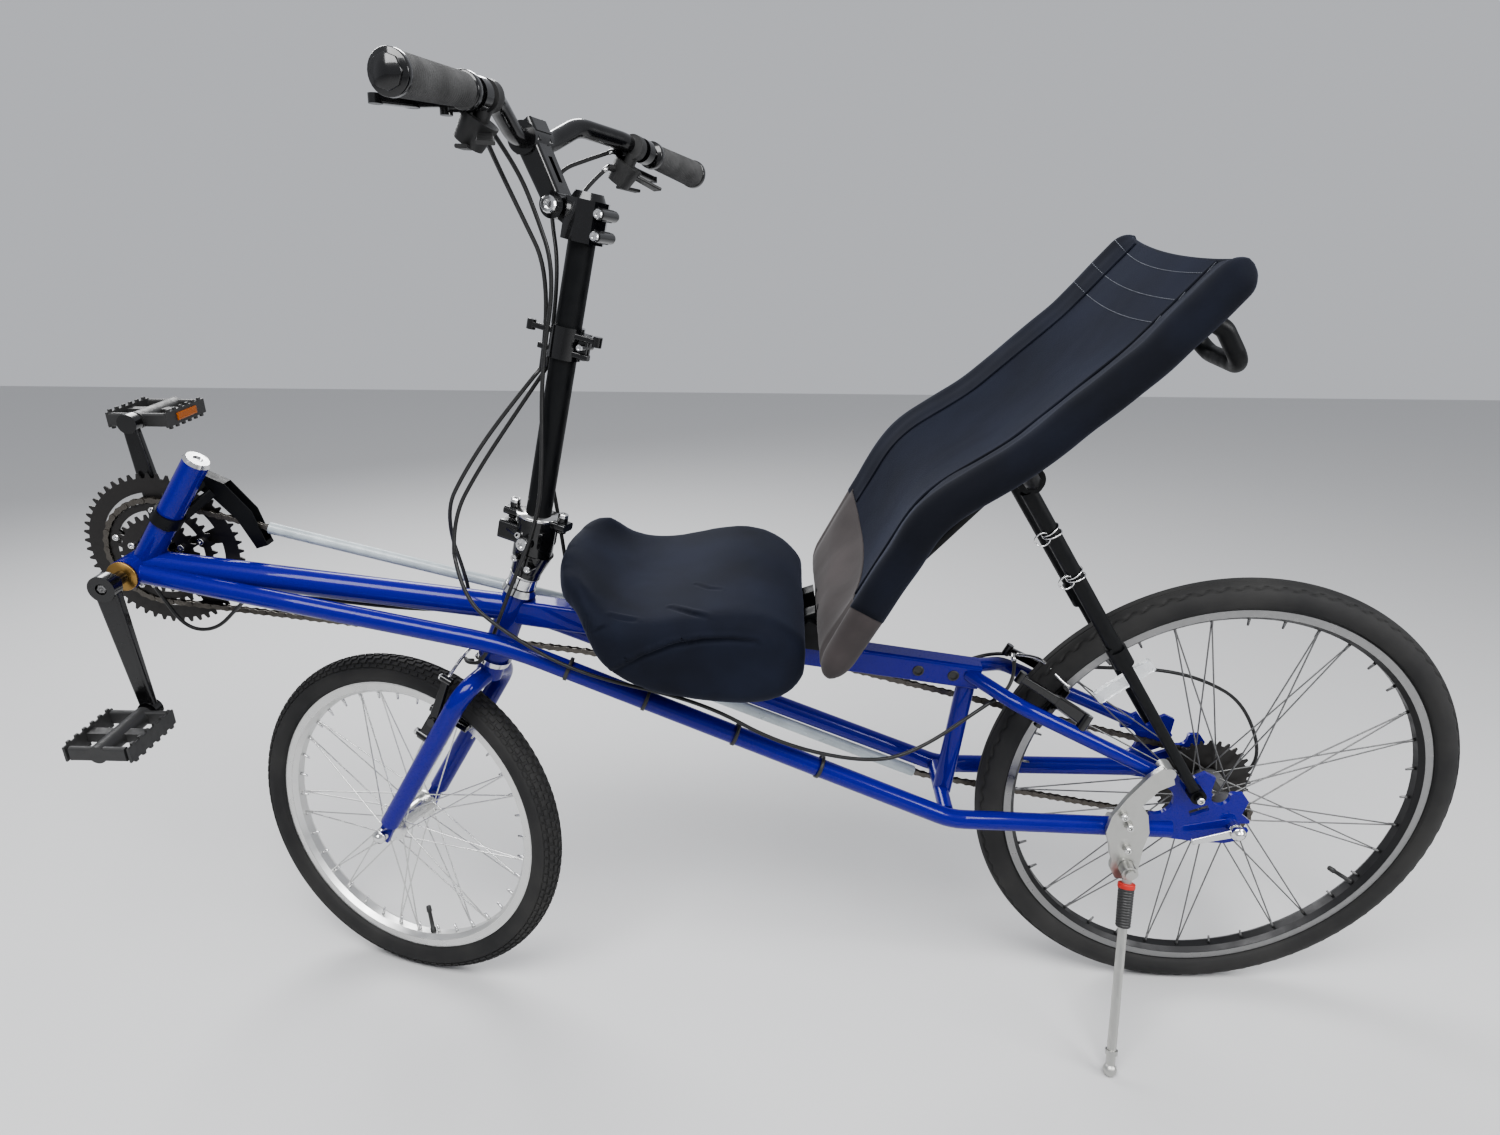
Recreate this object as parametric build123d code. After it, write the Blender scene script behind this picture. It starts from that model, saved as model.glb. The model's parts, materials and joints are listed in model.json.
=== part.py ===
from build123d import *
from functools import cache
import math
import os

# A long recumbent bicycle with two wheels in line, above-seat steering on a tall riser and a
# reclined sling seat, parked on its side stand with the front wheel turned to the right.
# Every piece is drawn on the upright bicycle: +X forward, +Y left, +Z up, in millimetres, with
# x = 0 at the rear axle and z = 0 on the ground. At the end the steered pieces turn, the whole
# bicycle leans on its stand, and the origin moves to the middle of its box on the ground.

# How it is parked
LEAN = 5.3
STEER_REST = -18.0
STEER_STOP = 35.0

# Wheels: 26 x 1.75 behind, 20 x 1.75 in front
REAR_TYRE_R = 323.0
FRONT_TYRE_R = 247.5
TYRE_HALF = 21.5
REAR_RIM_R = 287.0
FRONT_RIM_R = 210.5
RIM_HALF = 12.5
RIM_DEPTH = 17.0
RIM_WALL = 2.0
RIM_BED = 9.0
SPOKE_R = 1.0
SPOKES = 36
CROSSING = 3
REAR_HUB_HALF = 66.0
FRONT_HUB_HALF = 49.0
AXLE_R = 5.0
SKEWER_R = 2.5

# Steering geometry
HEAD_ANGLE = 67.0
HEAD_FOOT = (978.4, 518.7)
HEAD_LENGTH = 104.0
HEAD_R = 19.0
FORK_RAKE = 41.0
STEERER_R = 12.7
FORK_TIP_INNER = 50.0

# Frame
BRACKET = (1431.5, 641.5)
BRACKET_R = 20.0
BRACKET_HALF = 34.0
MAIN_R = 17.5
SIDE_R = 12.5
STAY_R = 9.5
POST_R = 15.9
BEAM_WIDE = 32.0
BEAM_TALL = 34.0
MAIN_END = (948.0, 590.0)
MAIN_START = (1431.5, 647.4)
BEAM_FRONT = (950.0, 590.0)
BEAM_REAR = (337.0, 504.2)
SIDE_POINTS = [(1425, 21, 641), (944, 52, 560), (367, 65, 318.9), (80, 70.5, 316)]
STAY_POINTS = [(352, 10, 510), (292, 58, 489), (98, 70, 395)]
STRUT_TOP = (350.0, 500.0)
STRUT_FOOT = (370.0, 320.5)
POST_TOP = (1325.8, 782.1)
DROPOUT_INNER = 67.5
DROPOUT_THICK = 6.0

# Drive: the chain runs from the middle chainring to the smallest cog
PITCH = 12.7
BEND_SHARE = 0.45
RING_TEETH = (26, 36, 52)
RING_Y = (-41.5, -48.5, -55.5)
RING_HOLE_R = (30.0, 59.0, 82.0)
RING_BOLT_R = (35.0, 60.0, 60.0)
SPIDER_ARMS = 5
SPIDER_ANGLE = 20.0
EAR_REACH = 6.0
COGS = (12, 14, 16, 18, 21, 24, 28, 32)
COG_Y = -60.5
COG_STEP = 4.8
CRANK = 170.0
CRANK_ANGLE = -97.2
PEDAL_LONG = 96.0
PEDAL_WIDE = 84.0
PEDAL_TALL = 22.0
CAGE_TEETH = 6

# Riser and bars, drawn with the steering straight
RISER_FOOT = (917.5, 660.0)
RISER_TOP = (827.0, 1085.0)
RISER_R = 15.9
BAR_CENTRE = (897.0, 1152.0)
BAR_R = 11.1
BAR_POINTS = [(35, 897, 1152), (92, 886, 1180), (150, 856, 1172), (205, 842, 1163), (330, 830, 1153)]
GRIP_LONG = 130.0
GRIP_R = 17.0
COLLAR_END = 900.0

# Seat
BACK_PATH = [(541, 596), (470, 728), (440, 785), (352, 842), (240, 944), (165, 1030)]
BACK_Y = 162.0
BACK_TUBE_R = 11.0
TOP_BAR = (181.0, 991.0)
SLEEVE_R = 21.0
SLING_THICK = 6.0
# The cushion's sections from rear to front: x, low, high, half its width
CUSHION_SECTIONS = [(570, 570, 612, 142), (594, 547, 637, 156), (700, 541, 651, 158), (785, 565, 643, 153),
                    (846, 622, 676, 130), (872, 648, 680, 106)]

# Stand
STAND_PIVOT = (136.0, 97.0, 268.0)
STAND_PIN_R = 4.0
STAND_FOOT = (157.0, 201.0)
LEG_R = 6.0


def unit(angle):
    return math.cos(math.radians(angle)), math.sin(math.radians(angle))


HEAD_C, HEAD_S = unit(HEAD_ANGLE)
UP = Vector(-HEAD_C, 0, HEAD_S)
AHEAD = Vector(HEAD_S, 0, HEAD_C)
HEAD = Vector(HEAD_FOOT[0], 0, HEAD_FOOT[1])


def steer_point(along, ahead=0.0, side=0.0):
    """A point by its height along the steering axis above the head tube's foot."""
    return HEAD + UP * along + AHEAD * ahead + Vector(0, side, 0)


STEER_AXIS = Axis(HEAD, UP)


def leaned(point):
    return Vector(point).rotate(Axis.X, -LEAN)


def steered(point):
    p = Vector(point) - HEAD
    return HEAD + p.rotate(Axis((0, 0, 0), UP), STEER_REST)


def wheel_drop(centre, axle, tyre_r):
    """Height of the lowest point of a tyre, from its centre and its axle's direction."""
    level = math.sqrt(1 - axle.Z ** 2)
    return centre.Z - (tyre_r - TYRE_HALF) * level - TYRE_HALF


def rear_axle_height():
    """The leaning rear tyre just touches the ground."""
    return REAR_TYRE_R - TYRE_HALF + TYRE_HALF / math.cos(math.radians(LEAN))


def fork_length():
    """Length from the head tube's foot to the axle that lets the parked front tyre touch the ground."""
    axle = leaned(steered(HEAD + Vector(0, 1, 0)) - HEAD)
    at_zero = wheel_drop(leaned(steered(steer_point(0, FORK_RAKE))), axle, FRONT_TYRE_R)
    per_mm = leaned(UP).Z
    return at_zero / per_mm


REAR_Z = rear_axle_height()
FORK = fork_length()
REAR_AXLE = Vector(0, 0, REAR_Z)
FRONT_AXLE = steer_point(-FORK, FORK_RAKE)
BB = Vector(BRACKET[0], 0, BRACKET[1])


def rod(a, b, r, r_end=None):
    """A round bar, or a cone, from a to b."""
    a = Vector(a)
    b = Vector(b)
    plane = Plane(origin=(a + b) * 0.5, z_dir=b - a)
    length = (b - a).length
    if r_end is None:
        return plane * Cylinder(r, length)
    return plane * Cone(r, r_end, length)


def cross_rod(x, z, y0, y1, r):
    """A bar across the bicycle."""
    return rod((x, y0, z), (x, y1, z), r)


def bent_tube(points, r, bends):
    """A round bar along straight runs with rounded bends."""
    path = FilletPolyline(*points, radius=bends)
    start = Plane(origin=path @ 0, z_dir=path % 0)
    return sweep(start * Circle(r), path=path)


def cord(points, r=2.5):
    """A thin round bar through points, every bend as wide as its runs allow."""
    spots = [Vector(*p) for p in points]
    bends = []
    for a, b, c in zip(spots, spots[1:], spots[2:]):
        half_turn = (b - a).get_angle(c - b) / 2
        run = min((b - a).length, (c - b).length)
        bends.append(BEND_SHARE * run / math.tan(math.radians(half_turn)))
    print("cord bends", [round(bend) for bend in bends])
    return bent_tube(spots, r, bends)


def flat_bar(a, b, thick, wide, wide_end=None, across=(0, 1, 0), corner=2.0):
    """A flat bar from a to b; across is the direction of its thickness."""
    a = Vector(*a)
    b = Vector(*b)
    corner = min(corner, 0.4 * thick, 0.4 * wide, 0.4 * (wide_end or wide))
    ends = []
    for at, width in ((a, wide), (b, wide_end or wide)):
        plane = Plane(origin=at, x_dir=across, z_dir=b - a)
        ends.append(plane * RectangleRounded(thick, width, corner))
    return loft(ends)


def cope(shape, *others):
    for other in others:
        shape = shape - other
    return shape


def one_solid(shape):
    """The largest solid of a shape, without slivers."""
    return max(shape.solids(), key=lambda s: s.volume)


def both_sides(shape):
    return shape + mirror(shape, about=Plane.XZ)


def side_plate(points, y0, y1):
    """A flat plate in the bicycle's side view between two distances from its middle."""
    outline = Polyline(*[(x, z) for x, z in points], close=True)
    face = make_face(Plane.XZ * outline)
    plate = extrude(face, amount=y1 - y0, dir=(0, 1, 0))
    return Pos(0, y0, 0) * plate


def spin(profile, centre):
    """A ring turned about an axle across the bicycle, from (radius, side) points."""
    outline = Polyline(*[(0, side, radius) for radius, side in profile], close=True)
    ring = revolve(make_face(outline), axis=Axis.Y, revolution_arc=360)
    return Pos(*centre) * ring


# Frame

def bracket_shell():
    shell = cross_rod(BB.X, BB.Z, -BRACKET_HALF, BRACKET_HALF, BRACKET_R)
    return shell


def bottom_bracket():
    shell = bracket_shell() - cross_rod(BB.X, BB.Z, -BRACKET_HALF, BRACKET_HALF, 17.0)
    for side in (-1, 1):
        cup = cross_rod(BB.X, BB.Z, side * (BRACKET_HALF - 8), side * (BRACKET_HALF + 4), 17.0)
        lip = cross_rod(BB.X, BB.Z, side * BRACKET_HALF, side * (BRACKET_HALF + 4), 19.0)
        shell = shell + cup + lip
    return shell - cross_rod(BB.X, BB.Z, -60, 60, 9.5)


def main_tube_bar():
    return rod((MAIN_START[0], 0, MAIN_START[1]), (MAIN_END[0], 0, MAIN_END[1]), MAIN_R)


def head_bar():
    return rod(steer_point(0), steer_point(HEAD_LENGTH), HEAD_R)


def main_tube():
    return cope(main_tube_bar(), bracket_shell(), head_bar())


def head_tube():
    return head_bar() - rod(steer_point(-1), steer_point(HEAD_LENGTH + 1), 16.5)


def headset_cups():
    lower = rod(steer_point(-8), steer_point(0), 21.0, 22.5)
    upper = rod(steer_point(HEAD_LENGTH), steer_point(HEAD_LENGTH + 9), 22.5, 20.0)
    return (lower + upper) - rod(steer_point(-20), steer_point(HEAD_LENGTH + 20), STEERER_R + 0.6)


def beam_bar():
    front = Vector(BEAM_FRONT[0], 0, BEAM_FRONT[1])
    rear = Vector(BEAM_REAR[0], 0, BEAM_REAR[1])
    plane = Plane(origin=rear, x_dir=(0, 1, 0), z_dir=front - rear)
    section = plane * RectangleRounded(BEAM_WIDE, BEAM_TALL, 5)
    return extrude(section, amount=(front - rear).length)


def seat_beam():
    beam = cope(beam_bar(), head_bar(), main_tube_bar())
    for x in (372.0, 418.0):
        z = BEAM_REAR[1] + (x - BEAM_REAR[0]) * (BEAM_FRONT[1] - BEAM_REAR[1]) / (BEAM_FRONT[0] - BEAM_REAR[0])
        beam = beam - cross_rod(x, z, -30, 30, 5.5)
    return max(beam.solids(), key=lambda s: s.volume)


@cache
def side_bar(side):
    points = [(x, side * y, z) for x, y, z in SIDE_POINTS]
    return bent_tube(points, SIDE_R, [420, 90])


def side_tube(side):
    tube = cope(side_bar(side), bracket_shell(), main_tube_bar(), head_bar(), beam_bar(), dropout(side))
    return max(tube.solids(), key=lambda s: s.volume)


def strut_bar():
    return rod((STRUT_TOP[0], 0, STRUT_TOP[1]), (STRUT_FOOT[0], 0, STRUT_FOOT[1]), SIDE_R)


def rear_strut():
    brace = cross_rod(STRUT_FOOT[0] + 2, STRUT_FOOT[1] + 2, -55, 55, 10.0)
    strut = cope(strut_bar() + brace, beam_bar(), side_bar(1), side_bar(-1))
    return max(strut.solids(), key=lambda s: s.volume)


@cache
def seat_stays():
    stay = bent_tube([(x, y, z) for x, y, z in STAY_POINTS], STAY_R, [45])
    stay = cope(stay, beam_bar(), strut_bar(), dropout(1))
    stay = max(stay.solids(), key=lambda s: s.volume)
    return both_sides(stay)


@cache
def dropout(side):
    outline = [(112, 334), (110, 306), (40, 297), (6, 296), (-16, 302), (-21, 316), (-20, 332), (-8, 342),
               (-13, 362), (-4, 374), (10, 374), (24, 360), (38, 376), (36, 398), (50, 405), (62, 398),
               (74, 386), (90, 408), (112, 396), (108, 362)]
    plate = side_plate([(x, z - 323 + REAR_Z) for x, z in outline], DROPOUT_INNER, DROPOUT_INNER + DROPOUT_THICK)
    notch = cross_rod(24, 368 - 323 + REAR_Z, 60, 80, 12.0)
    window = flat_bar((37, 70, 352), (60, 70, 342), 20, 9, corner=4.4)
    waist = cross_rod(106, 362 - 323 + REAR_Z, 60, 80, 22.0)
    slot = cross_rod(0, REAR_Z, 60, 80, AXLE_R)
    mouth = Pos(-11, 70, REAR_Z) * Box(24, 20, 2 * AXLE_R)
    plate = plate - notch - window - waist - slot - mouth
    return plate if side > 0 else mirror(plate, about=Plane.XZ)


def post_bar():
    return rod((BB.X - 4, 0, BB.Z), (POST_TOP[0], 0, POST_TOP[1]), POST_R)


def derailleur_post():
    post = cope(post_bar(), bracket_shell(), main_tube_bar(), side_bar(1), side_bar(-1))
    return max(post.solids(), key=lambda s: s.volume)


def post_direction():
    return (Vector(POST_TOP[0], 0, POST_TOP[1]) - Vector(BB.X - 4, 0, BB.Z)).normalized()


def post_cap():
    top = Vector(POST_TOP[0], 0, POST_TOP[1])
    up = post_direction()
    return rod(top, top + up * 5, POST_R + 0.6, POST_R - 2) - rod(top + up * 3, top + up * 6, 6.0)


# Drive

def chain_plane_y(x):
    """The chain runs in a plane from the middle chainring to the smallest cog."""
    return COG_Y + (RING_Y[1] - COG_Y) * x / BB.X


def pitch_radius(teeth):
    return PITCH / (2 * math.sin(math.pi / teeth))


def sprocket(centre, teeth, y, thick, bore, phase=0.0):
    """A toothed disc across the bicycle."""
    root = pitch_radius(teeth) - 4.2
    tip = pitch_radius(teeth) + 2.6
    points = []
    for i in range(teeth):
        for part, radius in ((-0.3, root), (-0.1, tip), (0.1, tip), (0.3, root)):
            angle = phase + 2 * math.pi * (i + part) / teeth
            points.append((centre.X + radius * math.cos(angle), centre.Z + radius * math.sin(angle)))
    disc = side_plate(points, y - thick / 2, y + thick / 2)
    return disc - cross_rod(centre.X, centre.Z, y - 10, y + 10, bore)


@cache
def chainrings():
    """Three toothed rings, each a slim rim with five ears at its bolts."""
    body = None
    for teeth, y, hole, bolt_r in zip(RING_TEETH, RING_Y, RING_HOLE_R, RING_BOLT_R):
        ring = sprocket(BB, teeth, y, 2.0, hole)
        for i in range(SPIDER_ARMS):
            c, s = unit(72 * i + SPIDER_ANGLE)
            out = bolt_r - EAR_REACH
            foot = Vector(BB.X + out * c, y, BB.Z + out * s)
            head = Vector(BB.X + (hole + 2) * c, y, BB.Z + (hole + 2) * s)
            ring = ring + flat_bar(foot, head, 2.0, 14.0, 24.0, corner=0.9)
        body = ring if body is None else body + ring
    for i in range(SPIDER_ARMS):
        c, s = unit(72 * i + SPIDER_ANGLE)
        for bolt_r, y0, y1 in ((RING_BOLT_R[2], -60.0, RING_Y[1] + 1), (RING_BOLT_R[0], -60.0, RING_Y[0] + 1)):
            body = body + cross_rod(BB.X + bolt_r * c, BB.Z + bolt_r * s, y0, y1, 5.0)
    return body


def crank_arm(side):
    """A forged arm with a square boss at the axle and an eye at the pedal."""
    angle = CRANK_ANGLE if side > 0 else CRANK_ANGLE + 180
    c, s = unit(angle)
    inner = 62.0
    tip = Vector(BB.X + CRANK * c, side * 78, BB.Z + CRANK * s)
    root = Vector(BB.X, side * 68, BB.Z)
    boss = cross_rod(BB.X, BB.Z, side * inner, side * 78, 17.0)
    eye = cross_rod(tip.X, tip.Z, side * 71, side * 85, 13.0)
    plane_a = Plane(origin=root, x_dir=(0, 1, 0), z_dir=tip - root)
    plane_b = Plane(origin=tip, x_dir=(0, 1, 0), z_dir=tip - root)
    arm = loft([plane_a * RectangleRounded(14, 30, 4), plane_b * RectangleRounded(11, 20, 4)])
    return boss + eye + arm


def crank_right():
    arm = crank_arm(-1)
    for i in range(SPIDER_ARMS):
        c, s = unit(72 * i + SPIDER_ANGLE)
        reach = RING_BOLT_R[2] + 4
        start = Vector(BB.X, -63, BB.Z)
        end = Vector(BB.X + reach * c, -59, BB.Z + reach * s)
        arm = arm + flat_bar(start, end, 6.0, 20.0, 11.0)
    spindle = cross_rod(BB.X, BB.Z, -64, 64, 8.5)
    return arm + spindle - chainrings()


def crank_left():
    socket = cross_rod(BB.X, BB.Z, 70, 90, 7.0)
    spindle = cross_rod(BB.X, BB.Z, -64, 64, 8.5)
    return crank_arm(1) - spindle - socket + cross_rod(BB.X, BB.Z, 66, 72, 5.5)


def pedal_centre(side):
    angle = CRANK_ANGLE if side > 0 else CRANK_ANGLE + 180
    c, s = unit(angle)
    return Vector(BB.X + CRANK * c, side * 85, BB.Z + CRANK * s)


def pedal(side):
    """A resin body with rounded ends between two toothed cage plates."""
    centre = pedal_centre(side)
    inner = side * 91
    outer = side * (91 + PEDAL_LONG)
    middle = side * (91 + PEDAL_LONG / 2)
    spindle = cross_rod(centre.X, centre.Z, side * 85.5, side * 120, 6.0)
    core = cross_rod(centre.X, centre.Z, inner, outer - side * 4, 11.5)
    ends = None
    for y, half_long in ((inner + side * 6, PEDAL_WIDE / 2 - 4), (outer - side * 8, PEDAL_WIDE / 2 - 8)):
        wall = flat_bar((centre.X - half_long, y, centre.Z), (centre.X + half_long, y, centre.Z), 8, 18, corner=3)
        ends = wall if ends is None else ends + wall
    cage = None
    for lead in (-1, 1):
        x = centre.X + lead * (PEDAL_WIDE / 2 - 3)
        plate = flat_bar((x, inner + side * 2, centre.Z), (x, outer - side * 4, centre.Z), 3, 20, across=(1, 0, 0), corner=1.4)
        for i in range(CAGE_TEETH):
            y = inner + side * (10 + (PEDAL_LONG - 24) * i / (CAGE_TEETH - 1))
            plate = plate + Pos(x, y, centre.Z) * Box(3, 5, PEDAL_TALL + 4)
        cage = plate if cage is None else cage + plate
    ribs = Pos(centre.X, middle, centre.Z) * Box(PEDAL_WIDE - 8, 14, 12)
    return core + ends + cage + ribs + spindle


CHAIN_HALF_TALL = 4.2
CHAIN_WAIST = 3.6
CHAIN_HALF_WIDE = 3.3
GROOVE_HALF = 1.8
GROOVE_TOP = 2.9
JOCKEY_TEETH = 11
GUIDE_WHEEL = (-17.0, 269.0)
TENSION_WHEEL = (-73.0, 243.0)
LOWER_BEND_FRONT = (850.0, 497.0)
LOWER_BEND_REAR = (388.0, 304.0)
UPPER_TUBE_X = (889.0, 1278.0)
LOWER_TUBE_X = (402.0, 828.0)
GUIDE_TUBE_R = 7.8
GUIDE_BORE_R = 5.8


def bend_wheel(before, corner, after, radius):
    """An imaginary wheel that rounds the chain's path at a corner: centre and turning sense."""
    d1 = (Vector(*corner) - Vector(*before)).normalized()
    d2 = (Vector(*after) - Vector(*corner)).normalized()
    sense = 1 if d1.cross(d2).Z > 0 else -1
    inward = (d2 - d1).normalized()
    half_turn = d1.get_angle(d2) / 2
    centre = Vector(*corner) + inward * (radius / math.cos(math.radians(half_turn)))
    return (centre.X, centre.Y), radius, sense


def chain_wheels():
    """What the chain goes round, in order: centre (x, z), radius, +1 to the left or -1 to the right."""
    ring = (BB.X, BB.Z)
    ring_r = pitch_radius(RING_TEETH[1])
    cog_r = pitch_radius(COGS[0])
    jockey_r = pitch_radius(JOCKEY_TEETH)
    ring_foot = (BB.X + 10, BB.Z - ring_r)
    tension_foot = (TENSION_WHEEL[0], TENSION_WHEEL[1] - jockey_r)
    front = bend_wheel(ring_foot, LOWER_BEND_FRONT, LOWER_BEND_REAR, 220.0)
    rear = bend_wheel(LOWER_BEND_FRONT, LOWER_BEND_REAR, tension_foot, 180.0)
    return [((0.0, REAR_Z), cog_r, -1), (ring, ring_r, -1), front, rear,
            (TENSION_WHEEL, jockey_r, -1), (GUIDE_WHEEL, jockey_r, 1)]


def chain_loop(offset):
    """The chain's closed path, offset to the left of its travel, as lines and arcs in side view."""
    wheels = chain_wheels()
    count = len(wheels)
    leaves = []
    enters = [None] * count
    for i in range(count):
        (ax, az), ar, a_sense = wheels[i]
        j = (i + 1) % count
        (bx, bz), br, b_sense = wheels[j]
        reach = math.hypot(bx - ax, bz - az)
        lean = math.asin((b_sense * br - a_sense * ar) / reach)
        heading = math.atan2(bz - az, bx - ax) - lean
        left = (-math.sin(heading), math.cos(heading))
        a_off = a_sense * ar - offset
        b_off = b_sense * br - offset
        leaves.append((ax - a_off * left[0], az - a_off * left[1]))
        enters[j] = (bx - b_off * left[0], bz - b_off * left[1])
    edges = []
    for i in range(count):
        (cx, cz), r, sense = wheels[i]
        start = enters[i]
        end = leaves[i]
        radius = abs(sense * r - offset)
        a0 = math.atan2(start[1] - cz, start[0] - cx)
        a1 = math.atan2(end[1] - cz, end[0] - cx)
        turn = (a1 - a0) % (2 * math.pi)
        if sense < 0:
            turn -= 2 * math.pi
        mid = a0 + turn / 2
        middle = (cx + radius * math.cos(mid), cz + radius * math.sin(mid))
        edges.append(ThreePointArc(start, middle, end))
        edges.append(Line(end, enters[(i + 1) % count]))
    return edges


def chain_band(outside, inside, y0, y1):
    """The closed band between two offsets of the path."""
    outer = make_face([Plane.XZ * edge for edge in chain_loop(outside)])
    inner = make_face([Plane.XZ * edge for edge in chain_loop(inside)])
    band = extrude(outer - inner, amount=y1 - y0, dir=(0, 1, 0))
    return Pos(0, y0, 0) * band


def in_chain_plane(shape):
    """From the side view to the chain's own slightly turned plane."""
    slant = math.degrees(math.atan2(RING_Y[1] - COG_Y, BB.X))
    return Pos(0, COG_Y, 0) * (Rot(0, 0, slant) * shape)


def path_spot(edges, distance):
    """A point on the chain's path, and the direction to the left of its travel there."""
    for edge in edges:
        if distance <= edge.length:
            share = distance / edge.length
            spot = edge @ share
            run = edge % share
            return spot, Vector(-run.Y, run.X)
        distance -= edge.length
    return edges[-1] @ 1, Vector(0, 1)


def scalloped_outline():
    """The chain's outer edge: wide at each pin and narrow halfway to the next."""
    edges = chain_loop(0)
    length = sum(edge.length for edge in edges)
    pins = round(length / PITCH)
    print("chain length", length, "pins", pins, "pitch", length / pins)
    points = []
    for i in range(2 * pins):
        spot, left = path_spot(edges, length * i / (2 * pins))
        reach = CHAIN_HALF_TALL if i % 2 == 0 else CHAIN_WAIST
        points.append(tuple(spot + left * reach))
    return Polyline(*points, close=True)


def chain():
    outer = make_face(Plane.XZ * scalloped_outline())
    inner = make_face([Plane.XZ * edge for edge in chain_loop(-CHAIN_HALF_TALL)])
    body = extrude(outer - inner, amount=2 * CHAIN_HALF_WIDE, dir=(0, 1, 0))
    body = Pos(0, -CHAIN_HALF_WIDE, 0) * body
    groove = chain_band(GROOVE_TOP, -CHAIN_HALF_TALL - 1, -GROOVE_HALF, GROOVE_HALF)
    return in_chain_plane(body - groove)


def run_point(x, index):
    """A point on one of the chain's straight runs."""
    edge = chain_loop(0)[2 * index + 1]
    a = edge @ 0
    b = edge @ 1
    z = a.Y + (b.Y - a.Y) * (x - a.X) / (b.X - a.X)
    return Vector(x, chain_plane_y(x), z)


def chain_tubes():
    pieces = []
    for (x0, x1), index in ((UPPER_TUBE_X, 0), (LOWER_TUBE_X, 2)):
        a = run_point(x0, index)
        b = run_point(x1, index)
        along = (b - a).normalized()
        pieces.append(rod(a, b, GUIDE_TUBE_R) - rod(a - along, b + along, GUIDE_BORE_R))
    return cope(pieces[0] + pieces[1], side_bar(-1))


def rear_derailleur():
    y = COG_Y - 0.6
    guide = Vector(GUIDE_WHEEL[0], y, GUIDE_WHEEL[1])
    tension = Vector(TENSION_WHEEL[0], y, TENSION_WHEEL[1])
    jockey_r = pitch_radius(JOCKEY_TEETH)
    body = cross_rod(guide.X, guide.Z, y - 2.5, y + 2.5, jockey_r - CHAIN_HALF_TALL - 0.3)
    body = body + cross_rod(tension.X, tension.Z, y - 1.2, y + 1.2, jockey_r - CHAIN_HALF_TALL - 0.3)
    run = (tension - guide).normalized()
    for y0, y1 in ((y - 6.0, y - 4.4), (y + 4.4, y + 6.0)):
        plate = cross_rod(guide.X, guide.Z, y0, y1, 15.0) + cross_rod(tension.X, tension.Z, y0, y1, 13.0)
        link = flat_bar((guide.X, (y0 + y1) / 2, guide.Z), (tension.X, (y0 + y1) / 2, tension.Z), 1.6, 18, 14, corner=0.7)
        window = flat_bar(tuple(guide + run * 22), tuple(tension - run * 18), 20, 6, corner=2.5)
        body = body + (plate + link - window)
    for wheel in (guide, tension):
        body = body + cross_rod(wheel.X, wheel.Z, y - 7.5, y + 7.5, 4.0)
    knuckle = cross_rod(-10, 290, -88, -74, 11.0)
    lower = cross_rod(guide.X - 2, guide.Z - 2, -84, y - 5, 12.0)
    outer = flat_bar((-10, -84, 290), (guide.X - 2, -80, guide.Z - 2), 6, 22, 20)
    stop = cross_rod(-20, 297, -86, -78, 5.0)
    return cope(body + knuckle + lower + outer + stop, dropout(-1))


def front_derailleur():
    d = post_direction()
    at = Vector(1379, 0, 709)
    band = rod(at - d * 8, at + d * 8, POST_R + 3.0)
    outline = [(1385, 746), (1345, 724), (1316, 690), (1300, 655), (1284, 660), (1295, 702), (1324, 740), (1374, 764)]
    cage = side_plate(outline, -44.6, -43.0) + side_plate(outline, -60.4, -58.8)
    top = side_plate([(1374, 764), (1324, 740), (1328, 736), (1376, 759)], -60, -43)
    tail = side_plate([(1284, 660), (1300, 655), (1298, 650), (1282, 655)], -60, -43)
    upper = flat_bar((1380, -12, 716), (1352, -46, 742), 12, 9, across=(0.5, 0.6, 0.6))
    lower = flat_bar((1374, -12, 700), (1342, -44, 728), 12, 7, across=(0.5, 0.6, 0.6))
    bolt = rod((1394, 8, 702), (1372, 12, 698), 5.0)
    return one_solid(cope(band + cage + top + tail + upper + lower + bolt, post_bar()))


# Wheels

def tyre(centre, tyre_r, rim_r):
    mid = tyre_r - TYRE_HALF
    bead = rim_r - RIM_WALL - 4
    inner = RIM_HALF - RIM_WALL - 0.4
    section = Plane.YZ * Circle(TYRE_HALF)
    ring = revolve(Pos(0, 0, mid) * section, axis=Axis.Y, revolution_arc=360)
    ring = Pos(*centre) * ring
    cut = cross_rod(centre.X, centre.Z, -TYRE_HALF, TYRE_HALF, rim_r + 0.4)
    plug = spin([(bead, -inner), (bead, inner), (rim_r + 2, inner), (rim_r + 2, -inner)], centre)
    return (ring - cut) + plug


def rim(centre, rim_r):
    outer = rim_r
    bed = rim_r - RIM_BED
    foot = rim_r - RIM_DEPTH
    w = RIM_HALF
    t = RIM_WALL
    profile = [(outer, -w), (outer, -w + t), (bed, -w + t), (bed, w - t), (outer, w - t), (outer, w),
               (foot + 5, w), (foot, 6), (foot, -6), (foot + 5, -w)]
    return spin(profile, centre)


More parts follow.
